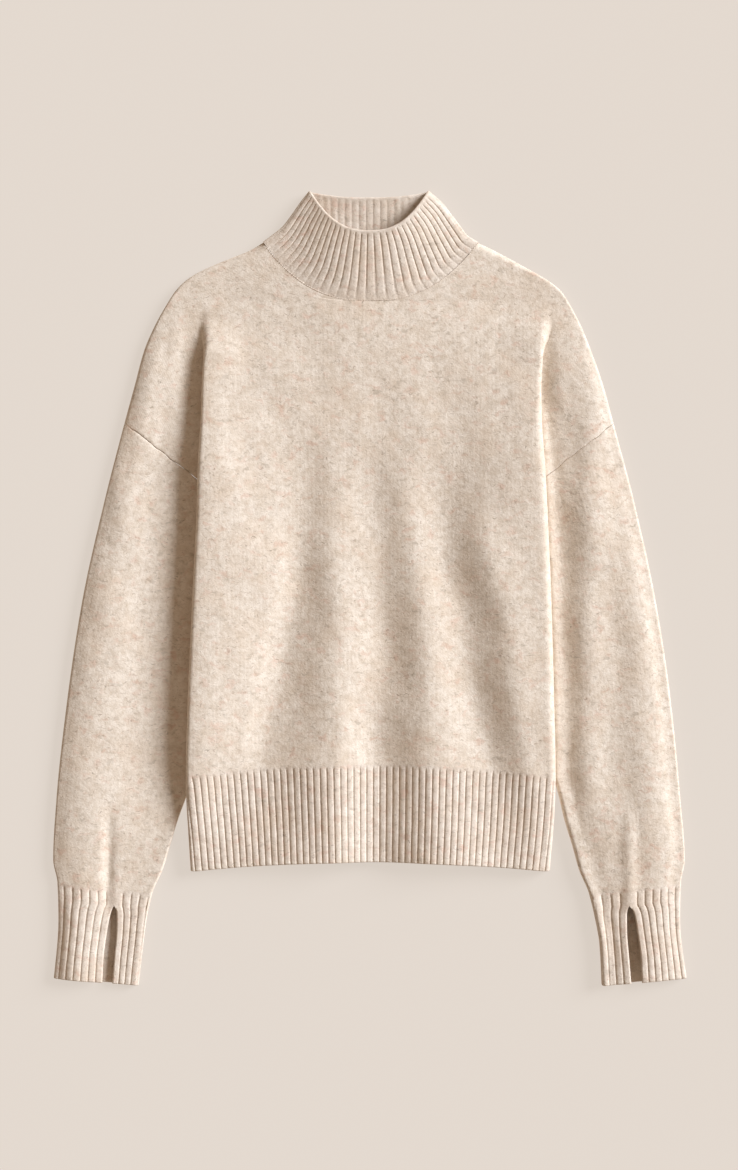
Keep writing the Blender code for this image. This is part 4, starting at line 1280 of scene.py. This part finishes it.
def cuff(side, material):
    starts = CUFF_LINE - np.array(HEM_STARTS)
    slit_rows = np.arange(CUFF_LINE - STARTS_END, CUFF_LINE - SLIT_FINE, -SLIT_STEP)
    rows = np.concatenate([[CUFF_LINE + 2.6], starts, slit_rows,
                           near(CUFF_EDGE, slit_rows[-1] - 2.0, CUFF_STEP)[::-1]])
    columns, phase = rib_columns(lambda y, a: cuff_point(side, y, a), rows,
                                 (0.0, 1.0, 2.0, 3.0), CUFF_RIBS)
    y_outer = np.repeat(rows[:, None], columns.shape[1], axis=1)
    places = cuff_point(side, y_outer, columns)
    normals = grid_normals(places)[1:]
    places, y_outer = places[1:], y_outer[1:]
    width = slit_outer_of[side](y_outer) - slit_inner_of[side](y_outer)
    run = lengths_along(places, 1)
    to_slit = np.minimum(run, run[:, -1:] - run)
    left = rounded(y_outer - CUFF_EDGE, RIB_ROUND)
    left = left * mix(1.0, rounded(to_slit, RIB_ROUND), smooth(width / 0.6))
    begun = rib_start(CUFF_LINE - y_outer)
    plain_edge = (phase < 0.5) | (phase > sum(CUFF_RIBS) - 0.5)
    phase = np.where(plain_edge, 0.5, phase)
    under = smooth((phase - CUFF_RIBS[0]) / 1.5) * smooth((sum(CUFF_RIBS[:2]) - phase) / 1.5)
    outer = ribbed(phase, begun, mix(RIB_TOP, HALF_WALL, under), RIB_DEPTH) * left
    inner = ribbed(phase + 0.5, begun, HALF_WALL, RIB_REVERSE) * left
    patches = [patch(places, side == 0, outer=outer, inner=inner, normals=normals)]
    return cloth(SIDE_NAMES[side] + "_split_cuff", patches, material)


cuffs = [cuff(side, rib_wool) for side in (0, 1)]

# %% [markdown]
# ## The mock neck
# The collar is a short ribbed tube that stands a little open at the rim. In front its ribs fan out
# from the rim to the neck seam, because the seam is longer. At the back they run straight, and they
# show on the inside of the neck. The rim is a smooth bound-off roll.

# %% A place on the collar
COLLAR_TOP = 366.0  # y of the corners of the rim
RIM_DIP_FRONT = 37.5
RIM_DIP_BACK = 5.5
RIM_RISE = 8.5  # how much higher the front of the rim stands
RIM_POWER = 4.5  # higher keeps the front of the collar flatter
BACK_RISE = 5.0  # how far the back of the rim stands off the table
COLLAR_HEIGHT = COLLAR_TOP - NECK_CORNER


def collar_point(r, a):
    """A point of the collar tube: r is 0 at the neck seam and 1 at the rim.

    a is 0 at the right side edge, runs over the front to the left one at 1 and back under to 2.
    """
    y_edge = mix(NECK_CORNER, COLLAR_TOP, r)
    right = collar_of[0](y_edge) - HALF_WALL
    left = collar_of[1](y_edge) - HALF_WALL
    over = a <= 1.0
    across = 2.0 * np.where(over, a, 2.0 - a) - 1.0
    x = across * np.where(across < 0.0, right, left)
    dip = np.where(over, mix(SEAM_DIP_FRONT, RIM_DIP_FRONT, r), mix(SEAM_DIP_BACK, RIM_DIP_BACK, r))
    y = y_edge - dip * (1.0 - np.abs(across) ** DIP_POWER)
    bulge = 1.0 - np.abs(across) ** RIM_POWER
    base = TABLE + 2.0 * rim_at(NECK_LINE)
    upper = base + (NECK_HEIGHT - base) * chest_swell(np.abs(x)) + RIM_RISE * r * bulge
    inside = np.minimum(x + right, left - x) * 0.75
    under = TABLE + BACK_RISE * r * r * bulge
    under, upper = pinch(under, upper, np.maximum(inside, 0.0), 0.0)
    return np.stack([x, y, np.where(over, upper, under)], axis=-1)


print("middle of the collar's rim in front:", np.round(collar_point(np.array(1.0), np.array(0.5)), 1))

# %% Make the collar
# Grooves between the ribs in front, counted from the centre: share of the way to the side, number.
COLLAR_GROOVES = (
    (0.0, 0.0),
    (0.10, 1.0),
    (0.30, 3.1),
    (0.50, 5.5),
    (0.64, 7.6),
    (0.76, 9.7),
    (0.87, 12.0),
    (0.95, 14.0),
    (1.0, 15.3),
)
COLLAR_DEPTH = 0.8  # its grooves are drawn open, and so are shallower
RIM_BEAD = 2.4  # height of the smooth roll at the rim
GROOVE_SHIFT = 0.4  # ribs by which the grooves are moved aside at the centre
SEAM_SHARE = 0.3  # share of the relief that is left at the neck seam
SEAM_FADE = 8.0  # distance from the seam at which the relief is whole
FOLD_RATE = 90.0  # how fast the relief comes up beside the folds at the sides
FOLD_DEPTH = 0.5  # depth of the grooves in the folds
COLLAR_REVERSE = (0.9, 0.8)  # depth of the grooves on the faces that don't show, back and front


def collar(material):
    number_at = curve(COLLAR_GROOVES, 1)
    dense = np.linspace(-1.0, 1.0, 2001)
    numbers = np.sign(dense) * number_at(np.abs(dense)) + GROOVE_SHIFT * (1.0 - np.abs(dense))
    phase = np.arange(math.ceil(numbers[0] * RIB_POINTS), numbers[-1] * RIB_POINTS) / RIB_POINTS
    front_phase = np.concatenate([[numbers[0]], phase, [numbers[-1]]])
    front_across = np.interp(front_phase, numbers, dense)
    back_across = np.linspace(1.0, -1.0, 201)
    columns = np.concatenate([(front_across + 1.0) / 2.0, 2.0 - (back_across[1:] + 1.0) / 2.0])
    rows = 1.0 - near(0.0, COLLAR_HEIGHT - SEAM_GAP, 2.0) / COLLAR_HEIGHT
    r, a = np.meshgrid(rows[::-1], columns, indexing="ij")
    places = collar_point(r, a)
    normals = grid_normals(places, closed=True)
    to_rim = (1.0 - r) * COLLAR_HEIGHT
    near_seam = mix(SEAM_SHARE, 1.0, smooth(r * COLLAR_HEIGHT / SEAM_FADE))
    ribs_on = smooth((to_rim - RIM_BEAD * 0.7) / 1.2) * near_seam
    is_front = np.arange(len(columns)) < len(front_phase)
    fold = smooth(np.minimum(np.abs(a % 1.0), 1.0 - np.abs(a % 1.0)) * FOLD_RATE)
    back_phase = places[..., 0] / RIB_PITCH
    number = np.where(is_front, np.append(front_phase, np.zeros(len(back_across) - 1)), back_phase)
    top = mix(HALF_WALL, RIB_TOP, fold)
    depth = mix(FOLD_DEPTH, COLLAR_DEPTH, fold)
    left = rounded(to_rim, RIB_ROUND)
    outside = np.where(is_front, ribbed(number, ribs_on, top, depth),
                       ribbed(number, ribs_on, HALF_WALL, COLLAR_REVERSE[0] * fold))
    reverse = number + 0.5
    inside = np.where(is_front, ribbed(reverse, ribs_on, HALF_WALL, COLLAR_REVERSE[1] * fold),
                      ribbed(reverse, ribs_on, top, depth))
    patches = [patch(places, outer=outside * left, inner=inside * left, normals=normals)]
    return cloth("mock_neck", patches, material)


mock_neck = collar(rib_wool)

# %% [markdown]
# ## The linking at the neck
# The collar is linked to the body stitch by stitch, and the chain shows as a fine light line along
# the seam. A curve with a round bevel is the simplest thread there is. Its line sways from side to
# side once a stitch.

# %% Make the linking
STITCH = 2.3
THREAD_RADIUS = 0.38
CHAIN_OFFSET = 0.35  # from the seam to the middle of the chain
CHAIN_SWAY = 0.32
CHAIN_SINK = 0.1  # how deep the middle of the chain lies in the cloth
CHAIN_WAVE = 0.15  # how much it goes up and down
CHAIN_POINTS = 420  # on each half


def chain_line(side):
    """Places of the chain on one half of the front, from the centre to the shoulder."""
    r = np.linspace(0.0, 0.97, CHAIN_POINTS)
    edge = shoulder_point(side, False, r, np.zeros(CHAIN_POINTS))
    inside = shoulder_point(side, False, r, np.full(CHAIN_POINTS, 0.02)) - edge
    inside /= np.linalg.norm(inside, axis=1, keepdims=True)
    run = np.concatenate([[0.0], np.cumsum(np.linalg.norm(np.diff(edge, axis=0), axis=1))])
    sway = CHAIN_OFFSET + CHAIN_SWAY * np.sin(2.0 * math.pi * run / STITCH)
    line = edge + inside * sway[:, None]
    line[:, 2] += HALF_WALL - CHAIN_SINK + CHAIN_WAVE * np.cos(2.0 * math.pi * run / STITCH)
    return line


def thread(name, line, radius, material):
    data = bpy.data.curves.new(name, "CURVE")
    data.dimensions = "3D"
    data.bevel_depth = radius * MM
    data.bevel_resolution = 1
    data.use_fill_caps = True
    spline = data.splines.new("POLY")
    spline.points.add(len(line) - 1)
    places = np.append((line - MIDDLE) * MM, np.ones((len(line), 1)), axis=1)
    spline.points.foreach_set("co", places.ravel())
    data.materials.append(material)
    return placed(name, data)


chain = np.concatenate([chain_line(0)[::-1], chain_line(1)[1:]])
neck_linking = thread("neck_linking", chain, THREAD_RADIUS, rib_wool)
print("chain of", len(chain), "points, lowest at", round(float(chain[:, 1].min()), 1), "mm")

# %% [markdown]
# ## What stands for what
# Each piece of cloth takes the place of its CAD solid and rides on the one body. The table gives
# the size each sheet was cut to: for a tube that is the way all round it.

SHEETS = (
    (front, "front_panel", "jersey", (0.80, 0.49), 0.233),
    (back, "back_panel", "jersey", (0.80, 0.49), 0.235),
    (sleeves[0], "sleeve_right", "jersey", (0.35, 0.43), 0.109),
    (sleeves[1], "sleeve_left", "jersey", (0.35, 0.43), 0.106),
    (hem_front, "hem_rib_front", "rib", (0.50, 0.09), None),
    (hem_back, "hem_rib_back", "rib", (0.48, 0.09), None),
    (cuffs[0], "cuff_right", "rib", (0.167, 0.087), None),
    (cuffs[1], "cuff_left", "rib", (0.167, 0.087), None),
    (mock_neck, "collar", "rib", (0.45, 0.065), 0.0225),
)
for piece, node, slot, flat, area in SHEETS:
    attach(piece, "root")
    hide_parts(node)
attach(neck_linking, "root")
print("declared", len(SHEETS), "sheets of cloth")

# %% [markdown]
# ## Table, light and camera
# The sweater lies on a plain warm paper. One broad light from the upper right models the folds and
# a warm, even light fills the shade.

# %% Table
GROUND = linear("#E4DAD0")
GROUND_GLOW = 0.84  # share of the ground's brightness that is its own, as on a light table

ground_material = bpy.data.materials.new("lit_paper")
ground_material.use_nodes = True
ground_shader = ground_material.node_tree.nodes["Principled BSDF"]
unlit = [v * (1.0 - GROUND_GLOW) for v in GROUND[:3]]
ground_shader.inputs["Base Color"].default_value = (*unlit, 1.0)
ground_shader.inputs["Emission Color"].default_value = GROUND
ground_shader.inputs["Emission Strength"].default_value = GROUND_GLOW
ground_shader.inputs["Roughness"].default_value = 1.0
ground_shader.inputs["Specular IOR Level"].default_value = 0.0
bpy.ops.mesh.primitive_plane_add(size=6.0, location=(0.0, 0.0, 0.0))
ground = bpy.context.object
ground.name = "paper_ground"
ground.data.materials.append(ground_material)
print("ground:", [round(v, 2) for v in ground.dimensions])

# %% Light
SUN_ELEVATION = 26.0
SUN_AZIMUTH = 26.0  # from +X towards +Y
SUN_STRENGTH = 5.5
SUN_BREADTH = 30.0  # degrees of sky that it fills, which makes its shadows soft
FILL_STRENGTH = 0.32

lamp = bpy.data.lights.new("key_light", "SUN")
lamp.energy = SUN_STRENGTH
lamp.angle = math.radians(SUN_BREADTH)
lamp.color = linear("#F0F6FF")[:3]
key_light = placed("key_light", lamp)
key_light.rotation_euler = (0.0, math.radians(90.0 - SUN_ELEVATION), math.radians(SUN_AZIMUTH))

world = bpy.data.worlds.new("studio")
bpy.context.scene.world = world
world.use_nodes = True
fill = world.node_tree.nodes["Background"]
fill.inputs["Color"].default_value = linear("#FFE5CC")
fill.inputs["Strength"].default_value = FILL_STRENGTH
bpy.context.scene.view_settings.view_transform = "Standard"
print("key light", SUN_ELEVATION, "degrees above the table")

# %% Camera
MM_PER_PIXEL = 0.92  # on the sweater
PHOTO_HEIGHT = 1170  # pixels
PHOTO_CENTRE = (-0.66, 2.88)  # place under the middle of the photograph, in the frame's millimetres
LENS = 85.0
SENSOR = 36.0
SWEATER_LEVEL = 8.0  # height at which the scale holds

camera_height = PHOTO_HEIGHT * MM_PER_PIXEL * LENS / SENSOR + SWEATER_LEVEL
camera_data = bpy.data.cameras.new("camera")
camera_data.lens = LENS
camera_data.sensor_width = SENSOR
camera_data.clip_end = 20.0
camera = placed("camera", camera_data)
camera.location = [v * MM for v in (*PHOTO_CENTRE, camera_height)]
bpy.context.scene.camera = camera
print("camera", round(camera_height), "mm above the table")
